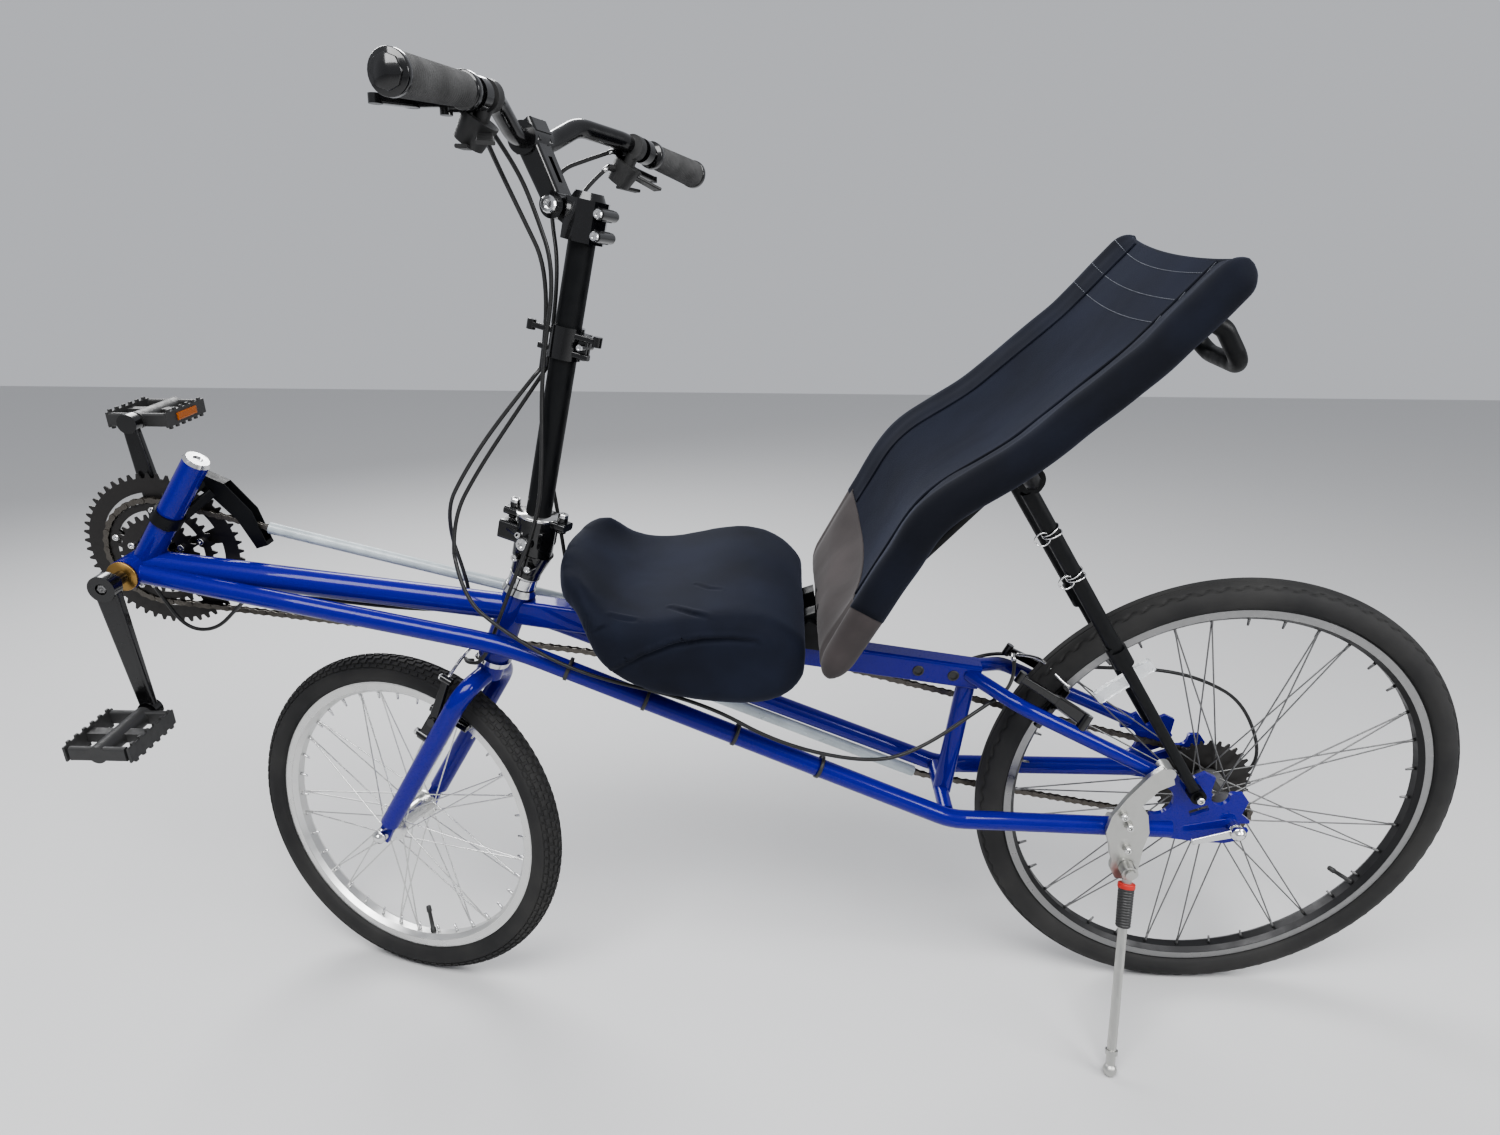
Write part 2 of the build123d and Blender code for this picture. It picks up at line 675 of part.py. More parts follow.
def hub_with_spokes(centre, rim_r, flange_r, flange_left, flange_right, half, barrel):
    """Hub shell, two flanges, and spokes crossing on their way to the rim."""
    hub = cross_rod(centre.X, centre.Z, flange_right, flange_left, barrel)
    for y in (flange_left, flange_right):
        hub = hub + cross_rod(centre.X, centre.Z, y - 1.8, y + 1.8, flange_r + 4)
    for side in (-1, 1):
        hub = hub + cross_rod(centre.X, centre.Z, side * (half - 8), side * half, 8.0)
    hub = hub + cross_rod(centre.X, centre.Z, -half + 6, half - 6, 6.5)
    hub = hub - cross_rod(centre.X, centre.Z, -half, half, SKEWER_R + 0.5)
    rim_foot = rim_r - RIM_DEPTH + 0.6
    per_side = SPOKES // 2
    spokes = []
    for side, y in ((0, flange_left), (1, flange_right)):
        for i in range(per_side):
            lead = 1 if i % 2 else -1
            at_hub = 360.0 * i / per_side + side * 10.0
            at_rim = at_hub + lead * 360.0 / per_side * (CROSSING - 0.5)
            ca, sa = unit(at_hub)
            cb, sb = unit(at_rim)
            a = (centre.X + flange_r * ca, y + lead * 1.2, centre.Z + flange_r * sa)
            b = (centre.X + rim_foot * cb, 0.0, centre.Z + rim_foot * sb)
            spokes.append(rod(a, b, SPOKE_R))
    return hub, spokes


def front_hub():
    hub, spokes = hub_with_spokes(FRONT_AXLE, FRONT_RIM_R, 18.0, 33.0, -33.0, FRONT_HUB_HALF, 14.0)
    return hub.fuse(*spokes)


@cache
def rear_hub():
    hub, spokes = hub_with_spokes(REAR_AXLE, REAR_RIM_R, 22.0, 35.0, -20.0, REAR_HUB_HALF, 16.0)
    return hub.fuse(*spokes)


def wheel_reflector():
    """A clear bar held by the left spokes near the rim."""
    middle = Vector(148, 0, 502 - 323 + REAR_Z)
    out = (middle - REAR_AXLE).normalized()
    along = Vector(-out.Z, 0, out.X)
    plane = Plane(origin=(middle.X, 5.5, middle.Z), x_dir=along, z_dir=(0, 1, 0))
    bar = extrude(plane * RectangleRounded(84, 18, 4), amount=8)
    return bar - rear_hub()


def skewer(centre, inner, lever_side):
    """A thin bolt through the hub with stubs in the tips, a nut and a lever."""
    tip = inner + DROPOUT_THICK
    bolt = cross_rod(centre.X, centre.Z, -tip - 10, tip + 10, SKEWER_R)
    for side in (-1, 1):
        bolt = bolt + cross_rod(centre.X, centre.Z, side * (inner - 1), side * tip, AXLE_R - 0.1)
        bolt = bolt + cross_rod(centre.X, centre.Z, side * tip, side * (tip + 8), 9.0)
    y = lever_side * (tip + 11)
    head = cross_rod(centre.X, centre.Z, lever_side * (tip + 6), lever_side * (tip + 15), 7.0)
    lever = flat_bar((centre.X + 2, y, centre.Z - 2), (centre.X + 56, y + lever_side * 3, centre.Z - 15), 5, 13, 9)
    return bolt + head + lever


def rear_skewer():
    return skewer(REAR_AXLE, DROPOUT_INNER, 1)


def front_skewer():
    return skewer(FRONT_AXLE, FORK_TIP_INNER, -1)


def cassette():
    body = cross_rod(0, REAR_Z, COG_Y - 1.0, -23.0, 17.5)
    for i, teeth in enumerate(COGS):
        body = body + sprocket(REAR_AXLE, teeth, COG_Y + i * COG_STEP, 1.8, 16.0)
    return body - cross_rod(0, REAR_Z, -REAR_HUB_HALF, 0, 16.0)


# Steering

@cache
def fork():
    crown_along = -30.0
    steerer = rod(steer_point(crown_along), steer_point(HEAD_LENGTH + 24), STEERER_R)
    crown = rod(steer_point(crown_along), steer_point(-9.0), 17.5)
    bar = steerer + crown
    for side in (-1, 1):
        shoulder = steer_point(crown_along + 5, 0, side * 2)
        elbow = steer_point(crown_along - 8, 1, side * 54)
        tip = steer_point(-FORK + 24, FORK_RAKE - 4, side * 56)
        blade = bent_tube([shoulder, elbow, tip], 13.0, [34])
        bar = bar + blade + side_tab(side)
    return bar - cross_rod(FRONT_AXLE.X, FRONT_AXLE.Z, -80, 80, AXLE_R)


def side_tab(side):
    """The flat tip that holds the front axle."""
    corners = ((-FORK - 11, FORK_RAKE - 10), (-FORK - 11, FORK_RAKE + 10),
               (-FORK + 34, FORK_RAKE + 4), (-FORK + 34, FORK_RAKE - 12))
    outline = []
    for along, ahead in corners:
        p = steer_point(along, ahead)
        outline.append((p.X, p.Z))
    plate = side_plate(outline, FORK_TIP_INNER, FORK_TIP_INNER + DROPOUT_THICK)
    return plate if side > 0 else mirror(plate, about=Plane.XZ)


def riser_direction():
    return (Vector(RISER_TOP[0], 0, RISER_TOP[1]) - Vector(RISER_FOOT[0], 0, RISER_FOOT[1])).normalized()


def riser_point(height, ahead=0.0, side=0.0):
    """A point by its distance up the riser from its foot."""
    d = riser_direction()
    out = Vector(d.Z, 0, -d.X)
    return Vector(RISER_FOOT[0], 0, RISER_FOOT[1]) + d * height + out * ahead + Vector(0, side, 0)


@cache
def headset_nut():
    ring = rod(steer_point(HEAD_LENGTH + 10), steer_point(HEAD_LENGTH + 24), 18.5)
    return ring - rod(steer_point(HEAD_LENGTH), steer_point(HEAD_LENGTH + 40), STEERER_R)


def riser_clamp():
    """The lower joint: a cone on the steerer, a clamp block with cross bolts, and a split flange on top."""
    cone = rod(steer_point(HEAD_LENGTH + 24), steer_point(HEAD_LENGTH + 34), 19.0, 20.0)
    cone = cone + rod(steer_point(HEAD_LENGTH + 34), steer_point(HEAD_LENGTH + 62), 20.0, 26.0)
    block = rod(riser_point(4), riser_point(52), 25.0)
    bridge = flat_bar(riser_point(32, -20), riser_point(32, 42), 40, 24, corner=4)
    flange = rod(riser_point(50), riser_point(60), 27.0)
    ears = flat_bar(riser_point(55, -43), riser_point(55, 43), 24, 10, corner=4)
    body = cone + block + bridge + flange + ears
    for ahead in (-34, 34):
        body = body + rod(riser_point(46, ahead), riser_point(66, ahead), 6.5)
    body = body + rod(riser_point(36, 30, 16), riser_point(34, 10, 24), 4.0)
    body = body + rod(riser_point(28, -3, 18), riser_point(28, -3, 32), 9.0)
    for height, ahead in ((5, 8), (-4, -12)):
        body = body + rod(riser_point(height, ahead, 12), riser_point(height, ahead, 28), 4.5)
    return one_solid(cope(body, riser(), fork(), headset_nut()))


@cache
def riser():
    return rod(riser_point(24), riser_point(434), RISER_R)


def riser_collar():
    """A band round the riser with two arms that end in cable hooks."""
    ring = rod(riser_point(258), riser_point(296), RISER_R + 4)
    slit = flat_bar(riser_point(250, -26, 0), riser_point(304, -26, 0), 3, 24)
    lugs = flat_bar(riser_point(262, -24, 0), riser_point(292, -24, 0), 14, 12)
    arm = flat_bar(riser_point(288, -44, 8), riser_point(288, 44, 8), 8, 7)
    low = flat_bar(riser_point(267, -36, 8), riser_point(267, 30, 8), 8, 7)
    for ahead in (-44, 44):
        low = low + rod(riser_point(282, ahead, 8), riser_point(294, ahead, 8), 5.5)
    bolt = rod(riser_point(277, -26, -14), riser_point(277, -26, 14), 4.0)
    return cope(ring + lugs - slit + arm + low + bolt, riser(), handlebar_cables())


def stem():
    """A faceted clamp with two barrel bolts, a hinge knuckle and a slotted arm up to the bar."""
    clamp = Plane(origin=riser_point(392), z_dir=riser_direction()) * RegularPolygon(RISER_R + 10, 8)
    clamp = extrude(clamp, amount=46)
    cap = rod(riser_point(438), riser_point(446), RISER_R + 4, RISER_R)
    knuckle = riser_point(424, 34)
    bar = Vector(BAR_CENTRE[0], 0, BAR_CENTRE[1])
    run = (bar - knuckle).normalized()
    body = clamp + cap
    for height in (402, 426):
        body = body + rod(riser_point(height, -25, -19), riser_point(height, -25, 19), 6.5)
        body = body + flat_bar(riser_point(height, -10, 0), riser_point(height, -27, 0), 26, 14)
    body = body + rod(knuckle - Vector(0, 21, 0), knuckle + Vector(0, 21, 0), 15.0)
    body = body + flat_bar(riser_point(412), knuckle, 26, 26, 22)
    arm = flat_bar(knuckle, bar, 36, 24, 28, corner=5)
    slot = flat_bar(knuckle + run * 22, bar - run * 26, 8, 40, corner=3)
    grip = rod(bar - Vector(0, 21, 0), bar + Vector(0, 21, 0), 18.0)
    grip = grip + flat_bar(bar, bar + run * 15, 40, 38, corner=5)
    for lead in (-14, 14):
        for y in (-13, 13):
            at = bar + Vector(run.Z, 0, -run.X) * lead + Vector(0, y, 0)
            body = body + rod(at - run * 10, at + run * 17, 3.5)
    return one_solid(body + arm + grip - slot - riser() - handlebar())


@cache
def handlebar():
    left = [(x, y, z) for y, x, z in BAR_POINTS]
    right = [(x, -y, z) for x, y, z in reversed(left)]
    return bent_tube(right + left, BAR_R, [30, 45, 45, 60, 60, 45, 45, 30])


def bar_end(side):
    y, x, z = BAR_POINTS[-1]
    return Vector(x, side * y, z)


def bar_run(side):
    """Direction of the straight end of the bar, outwards."""
    y, x, z = BAR_POINTS[-2]
    return (bar_end(side) - Vector(x, side * y, z)).normalized()


@cache
def grips():
    pair = None
    for side in (-1, 1):
        run = bar_run(side)
        end = bar_end(side) + run * 4
        root = end - run * GRIP_LONG
        collar = rod(root, root + run * 9, GRIP_R - 1)
        palm = rod(root + run * 6, root + run * 62, GRIP_R - 3, GRIP_R)
        flare = rod(root + run * 58, end - run * 8, GRIP_R, GRIP_R + 1.5)
        cap = rod(end - run * 8, end, GRIP_R + 1.5, GRIP_R - 1)
        grip = (collar + palm + flare + cap) - handlebar()
        pair = grip if pair is None else pair + grip
    return pair


@cache
def brake_levers():
    """A band on the bar, a pod ahead of it and a flat two-finger blade, on each side."""
    pair = None
    for side in (-1, 1):
        run = bar_run(side)
        at = bar_end(side) - run * (GRIP_LONG + 14)
        ring = rod(at - run * 7, at + run * 7, BAR_R + 4)
        pivot = at + run * 6 + Vector(30, 0, -8)
        pod = flat_bar(at - run * 12 + Vector(16, 0, -6), pivot + run * 4, 18, 20, 16, across=(0, 0, 1), corner=4)
        barrel = rod(at - run * 12 + Vector(20, 0, -6), at - run * 34 + Vector(22, 0, -6), 5.0, 4.0)
        bolt = rod(pivot + Vector(0, 0, -11), pivot + Vector(0, 0, 11), 6.0)
        knee = pivot + run * 34 + Vector(16, 0, -3)
        tip = pivot + run * 98 + Vector(12, 0, -6)
        blade = flat_bar(pivot, knee, 8, 15, 14, across=(0, 0, 1)) + flat_bar(knee, tip, 8, 14, 12, across=(0, 0, 1))
        blade = blade + rod(knee - Vector(0, 0, 4), knee + Vector(0, 0, 4), 7.0) + rod(tip - Vector(0, 0, 4), tip + Vector(0, 0, 4), 6.0)
        lever = one_solid((ring + pod + barrel + bolt + blade) - handlebar() - grips())
        pair = lever if pair is None else pair + lever
    return pair


@cache
def shifters():
    """A rounded pod hung under the bar with two thumb paddles, on each side."""
    pair = None
    for side in (-1, 1):
        run = bar_run(side)
        at = bar_end(side) - run * (GRIP_LONG + 36)
        ring = rod(at - run * 6, at + run * 6, BAR_R + 4)
        top = at + Vector(8, 0, -20)
        low = at + Vector(24, 0, -42)
        pod = rod(top, low, 19.0, 15.0) + rod(at + Vector(2, 0, -8), top + Vector(4, 0, -6), 8.0)
        barrel = rod(at + Vector(18, 0, -26), at - run * 26 + Vector(22, 0, -28), 5.0, 4.0)
        push = flat_bar(top + run * 4 + Vector(-6, 0, -14), top + run * 34 + Vector(-22, 0, -24), 4, 14, 18, across=(0, 0, 1))
        pull = flat_bar(low + run * 2 + Vector(0, 0, -4), low + run * 32 + Vector(-10, 0, -4), 4, 10, 12, across=(0, 0, 1))
        shifter = one_solid((ring + pod + barrel + push + pull) - handlebar() - brake_levers() - grips())
        pair = shifter if pair is None else pair + shifter
    return pair


def lever_port(side):
    """Where the brake lever's housing leaves it."""
    run = bar_run(side)
    return bar_end(side) - run * (GRIP_LONG + 48) + Vector(22, 0, -6)


def shifter_port(side):
    """Where the shifter's housing leaves it."""
    run = bar_run(side)
    return bar_end(side) - run * (GRIP_LONG + 62) + Vector(22, 0, -28)


def at_collar(side, z):
    """A housing's place ahead of the riser at a height, by its distance from the middle."""
    middle = RISER_FOOT[0] + (z - RISER_FOOT[1]) * (RISER_TOP[0] - RISER_FOOT[0]) / (RISER_TOP[1] - RISER_FOOT[1])
    return Vector(middle + (24 if abs(side) < 10 else 16), side, z)


@cache
def handlebar_cables():
    """Housings from the levers and shifters down the riser, and the front brake's on to its arm."""
    left_brake = [lever_port(1), (880, 118, 1153), (878, 62, 1112), (876, 36, 1078), at_collar(21, 1010),
                  at_collar(20, 900), (880, 30, 790), (884, 38, 720)]
    left_brake += [steer_point(120, -4, 36), steer_point(80, -1, 30), steer_point(0, -1, 30)]
    left_brake += [steer_point(-14, 22, 27), steer_point(-22, 36, 8), steer_point(-36, 40, -8), steer_point(-43, 40, -26)]
    left_shift = [shifter_port(1), (884, 96, 1118), (886, 56, 1080), at_collar(9, 1000), at_collar(7, COLLAR_END)]
    right_brake = [lever_port(-1), (884, -112, 1146), (899, -64, 1128), (896, -34, 1090), at_collar(-9, 1000),
                   at_collar(-7, COLLAR_END)]
    right_shift = [shifter_port(-1), (884, -100, 1112), (880, -62, 1076), at_collar(-24, 1000), at_collar(-20, COLLAR_END)]
    housings = cord(left_brake) + cord(left_shift) + cord(right_brake) + cord(right_shift)
    loops = cable_loops().rotate(STEER_AXIS, -STEER_REST)
    return cope(housings, brake_levers(), shifters(), loops)


def loop_start(side):
    return steered(at_collar(side, COLLAR_END))


@cache
def cable_loops():
    """The three housings that flex as the bars turn: from the collar to the frame."""
    rear_brake_loop = [loop_start(-7), (925, -22, 845), (975, -2, 775), (1008, 14, 718), (1006, 30, 676)]
    front_gear_loop = [loop_start(7), (944, -4, 838), (988, 14, 776), (1020, 4, 722), (1023, -22, 668)]
    rear_gear_loop = [loop_start(-20), (902, -34, 826), (888, -36, 720), (881, -34, 622)]
    return cord(rear_brake_loop) + cord(front_gear_loop) + cord(rear_gear_loop)


def frame_cables():
    """The same three housings, held along the frame."""
    rear_brake_run = [(1006, 30, 676), (994, 54, 630), (948, 66, 591), (853, 72, 532), (699, 76, 500), (597, 78, 438),
                      (480, 74, 410), (415, 60, 423), (330, 36, 478), (300, 18, 488), (286, -6, 510), (287, -25, 520)]
    front_gear_run = [(1022.7, -22.1, 666.6), (1010, -27, 602), (1018, -24, 582), (1060, -6, 578), (1290, -4, 606), (1330, -28, 572),
                      (1370, -30, 534), (1412, -30, 536), (1430, -22, 590), (1430, -10, 616)]
    rear_gear_run = [(881, -34, 622), (868, -26, 586), (800, -20.5, 557), (380, -20.5, 498), (300, -62, 508), (230, -76, 480),
                     (158, -74, 476), (70, -74, 476), (0, -82, 456), (-70, -98, 412), (-112, -98, 330),
                     (-98, -94, 288), (-58, -88, 288), (-34, -84, 299)]
    runs = cord(rear_brake_run) + cord(front_gear_run) + cord(rear_gear_run)
    return cope(runs, cable_loops())


def front_brake():
    """Two upright flat arms on the fork's studs, a shoe each, and the noodle across the top."""

    def spot(up, ahead, side):
        return steer_point(-FORK + up, ahead, side)

    pieces = []
    for side in (-1, 1):
        foot = spot(180, 32, side * 52)
        knee = spot(212, 30, side * 48)
        head = spot(268, 34, side * 42)
        arm = flat_bar(foot, knee, 9, 18, 14, across=(0, 1, 0)) + flat_bar(knee, head, 8, 13, 10, across=(0, 1, 0))
        boss = rod(spot(180, 6, side * 54), spot(180, 40, side * 52), 7.0)
        cap = rod(spot(180, 40, side * 52), spot(180, 44, side * 52), 5.0)
        bolt = rod(head - AHEAD * 8, head + AHEAD * 8, 5.0)
        pad_mid = steer_point(-FORK + 200, FORK_RAKE - 14, side * (RIM_HALF + 7))
        pad = flat_bar(pad_mid - AHEAD * 34, pad_mid + AHEAD * 26, 9, 10, corner=3)
        stud = rod(pad_mid, spot(206, 29, side * 46), 3.4)
        barrel = rod(spot(206, 29, side * 44), spot(206, 29, side * 56), 6.0)
        pieces.append(arm + boss + cap + bolt + pad + stud + barrel)
    return (pieces[0] + pieces[1]) - fork()


def rear_brake():
    stay = (Vector(98, 0, 395) - Vector(292, 0, 489)).normalized()
    over = Vector(stay.Z, 0, -stay.X)
    base = Vector(218, 0, 452)
    out = (base - REAR_AXLE).normalized()
    along = Vector(-out.Z, 0, out.X)
    pieces = []
    for side in (-1, 1):
        boss = rod(base + Vector(0, side * 61, 0), base + over * 30 + Vector(0, side * 58, 0), 7.0)
        foot = base + over * 22 + Vector(0, side * 58, 0)
        knee = foot + out * 40 + Vector(0, side * -12, 0)
        tip = foot + out * 96 + Vector(0, side * -20, 0)
        arm = flat_bar(foot, knee, 9, 18, 14, across=(0, 1, 0)) + flat_bar(knee, tip, 8, 13, 10, across=(0, 1, 0))
        bolt = rod(tip - over * 8, tip + over * 8, 5.0)
        pad_mid = REAR_AXLE + out * (REAR_RIM_R - 8) + Vector(0, side * (RIM_HALF + 7), 0)
        pad = flat_bar(pad_mid - along * 32, pad_mid + along * 32, 9, 10, corner=3)
        stud = rod(pad_mid, foot + out * 30 + Vector(0, side * -8, 0), 3.4)
        pieces.append(boss + arm + bolt + pad + stud)
    return cope(pieces[0] + pieces[1], seat_stays())


# Seat

def back_points(side):
    return [(x, side * BACK_Y, z) for x, z in BACK_PATH]


@cache
def back_tube(side, r):
    return bent_tube(back_points(side), r, [150, 45, 70, 150])


@cache
def seat_back_frame():
    sides = back_tube(1, BACK_TUBE_R) + back_tube(-1, BACK_TUBE_R)
    top = cross_rod(TOP_BAR[0], TOP_BAR[1], -BACK_Y, BACK_Y, 9.0)
    foot = cross_rod(BACK_PATH[0][0], BACK_PATH[0][1], -BACK_Y, BACK_Y, BACK_TUBE_R)
    mid = cross_rod(328, 806, -130, 130, 9.0)
    frame = sides + foot + top
    for side in (-1, 1):
        frame = frame + rod((328, side * 122, 806), (352, side * BACK_Y, 838), 9.0)
    left = [(TOP_BAR[0] - 3, 58, TOP_BAR[1] - 2), (126, 58, 962), (96, 52, 920)]
    right = [(x, -y, z) for x, y, z in reversed(left)]
    hoop = bent_tube(left + right, 10.0, [20, 26, 26, 20])
    return frame + mid + hoop


def seam_plane():
    """Where the lower panel ends on the seat back, a little higher on the right."""
    return Plane(origin=(496, 0, 672), z_dir=(-0.474, 0.09, 0.881))


def full_sleeves(r):
    sleeves = []
    for side in (-1, 1):
        end = Pos(BACK_PATH[-1][0], side * BACK_Y, BACK_PATH[-1][1]) * Sphere(r)
        sleeves.append(back_tube(side, r) + end)
    return sleeves


def back_sheet(half, thick):
    path = FilletPolyline(*back_points(0), radius=[150, 45, 70, 150])
    start = Plane(origin=path @ 0, x_dir=(0, 1, 0), z_dir=path % 0)
    return sweep(start * Rectangle(2 * half, thick), path=path)


def seat_back_sleeves():
    pieces = [split(sleeve, bisect_by=seam_plane(), keep=Keep.TOP) for sleeve in full_sleeves(SLEEVE_R)]
    return cope(pieces[0] + pieces[1], seat_back_frame())


def seat_back_sling():
    sheet = split(back_sheet(BACK_Y, SLING_THICK), bisect_by=seam_plane(), keep=Keep.TOP)
    return one_solid(cope(sheet, *full_sleeves(SLEEVE_R), seat_back_frame()))


@cache
def seat_lower_panel():
    """The grey panel wrapped round the lower end of the seat back."""
    sleeves = full_sleeves(SLEEVE_R + 1)
    shell = sleeves[0] + sleeves[1] + back_sheet(BACK_Y, SLING_THICK + 2)
    low = split(shell, bisect_by=seam_plane(), keep=Keep.BOTTOM)
    return one_solid(cope(low, seat_back_frame()))


def beam_top(x):
    slope = (BEAM_FRONT[1] - BEAM_REAR[1]) / (BEAM_FRONT[0] - BEAM_REAR[0])
    return BEAM_REAR[1] + slope * (x - BEAM_REAR[0]) + BEAM_TALL / 2 * math.sqrt(1 + slope ** 2)


@cache
def seat_pan():
    pan = side_plate([(600, beam_top(600)), (798, beam_top(798)), (798, beam_top(798) + 7), (600, beam_top(600) + 7)],
                     -112, 112)
    shoe = side_plate([(520, beam_top(520)), (612, beam_top(612)), (612, beam_top(612) + 8), (520, beam_top(520) + 8)],
                      -30, 30)
    ears = side_plate([(528, beam_top(528) + 6), (560, beam_top(560) + 6), (552, 612), (530, 612)], 22, 30)
    block = side_plate([(548, beam_top(548) + 6), (576, beam_top(576) + 6), (572, 604), (556, 610)], 22, 44)
    side = ears + block
    side = side + mirror(side, about=Plane.XZ)
    knob = cross_rod(562, 592, 44, 54, 9.0)
    body = cope(pan + shoe + side + knob, seat_back_frame(), beam_bar(), seat_lower_panel())
    return one_solid(body)


def seat_cushion():
    """Foam with a raised nose, wrapped down over the beam's sides, with a channel below for beam and cable."""
    sections = []
    for x, low, high, half in CUSHION_SECTIONS:
        plane = Plane(origin=(x, 0, (low + high) / 2), x_dir=(0, 1, 0), z_dir=(1, 0, 0))
        tall = high - low
        sections.append(plane * RectangleRounded(2 * half, tall, min(22.0, 0.45 * tall)))
    channel = side_plate([(560, 480), (890, 520), (890, beam_top(890)), (560, beam_top(560))], -30, 30)
    return one_solid(cope(loft(sections), channel, seat_pan(), beam_bar()))


def seat_struts():
    """Telescoping struts from the dropouts to the seat back, with clamps and eyes."""
    top = Vector(326, 98, 790)
    foot = Vector(62, 84, 380)
    run = (foot - top).normalized()
    strut = rod(top, foot, 7.0)
    sleeve = rod(top, top + run * 250, 9.5)
    clamp = rod(top + run * 236, top + run * 262, 12.0)
    lug = flat_bar(top + run * 238 + Vector(8, 0, 6), top + run * 260 + Vector(8, 0, 6), 14, 16)
    bolt = cross_rod(top.X + run.X * 249 + 13, top.Z + run.Z * 249 + 10, 80, 100, 4.0)
    eye = cross_rod(326, 804, 90, 106, 16.0) + cross_rod(326, 804, 106, 112, 8.0)
    boot = cross_rod(foot.X, foot.Z, 74, 92, 10.0) + cross_rod(foot.X, foot.Z, 92, 97, 6.0)
    piece = cope(strut + sleeve + clamp + lug + bolt + eye + boot, seat_back_frame(), dropout(1))
    piece = one_solid(piece)
    return piece + mirror(piece, about=Plane.XZ)


def seat_brace():
    brace = rod((330, 40, 796), (500, 40, 610), 8.0)
    brace = cope(brace, seat_back_frame(), seat_back_sling())
    brace = max(brace.solids(), key=lambda s: s.volume)
    return both_sides(brace)


# Stand

def stand_bracket():
    """A casting hooked over the seat stay and strapped round the side tube, with the stand's pin."""
    outline = [(94, 398), (98, 410), (112, 422), (128, 408), (150, 376), (166, 346), (170, 322), (162, 298),
               (156, 262), (148, 248), (130, 246), (120, 256), (118, 300), (114, 322), (120, 350), (130, 364), (112, 388)]
    plate = side_plate(outline, 82.5, 90)
    recess = cross_rod(168, 276, 80, 92, 12.0)
    hook = rod((104, 66, 412), (104, 90, 412), 9.0)
    band = rod((126, 69.6, 316.4), (160, 69, 316.9), SIDE_R + 5)
    boss = cross_rod(STAND_PIVOT[0], STAND_PIVOT[2], 78, STAND_PIVOT[1] - 6.5, 13.0)
    pin = cross_rod(STAND_PIVOT[0], STAND_PIVOT[2], 78, STAND_PIVOT[1] + 11, STAND_PIN_R)
    head = cross_rod(STAND_PIVOT[0], STAND_PIVOT[2], STAND_PIVOT[1] + 10, STAND_PIVOT[1] + 13, 7.0)
    body = plate - recess + hook + band + boss + pin + head
    for x, z in ((152, 350), (140, 298), (143, 334)):
        body = body + cross_rod(x, z, 88, 95, 5.5)
    return one_solid(cope(body, side_bar(1), seat_stays(), dropout(1)))


def stand_points():
    """The leg's foot stands on the ground when the bicycle leans."""
    lean = math.radians(LEAN)
    foot_r = 9.0
    y = STAND_FOOT[1]
    z = (y * math.sin(lean) + foot_r) / math.cos(lean)
    return Vector(*STAND_PIVOT), Vector(STAND_FOOT[0], y, z), foot_r


def stand_leg():
    """A leg with a round knuckle on the bracket's pin, a ring, a sleeve and a rounded foot."""
    top, foot, foot_r = stand_points()
    run = (foot - top).normalized()
    knuckle = cross_rod(top.X, top.Z, top.Y - 6, top.Y + 9.5, 10.5)
    leg = rod(top, foot, LEG_R)
    ring = rod(top + run * 18, top + run * 24, 10.5)
    sleeve = rod(top + run * 24, top + run * 74, 9.5, 8.5)
    collar = rod(foot - run * 26, foot - run * 20, 8.0)
    knob = Pos(*foot) * Sphere(foot_r)
    body = knuckle + leg + ring + sleeve + collar + knob
    return body - cross_rod(top.X, top.Z, top.Y - 20, top.Y + 20, STAND_PIN_R + 0.08)


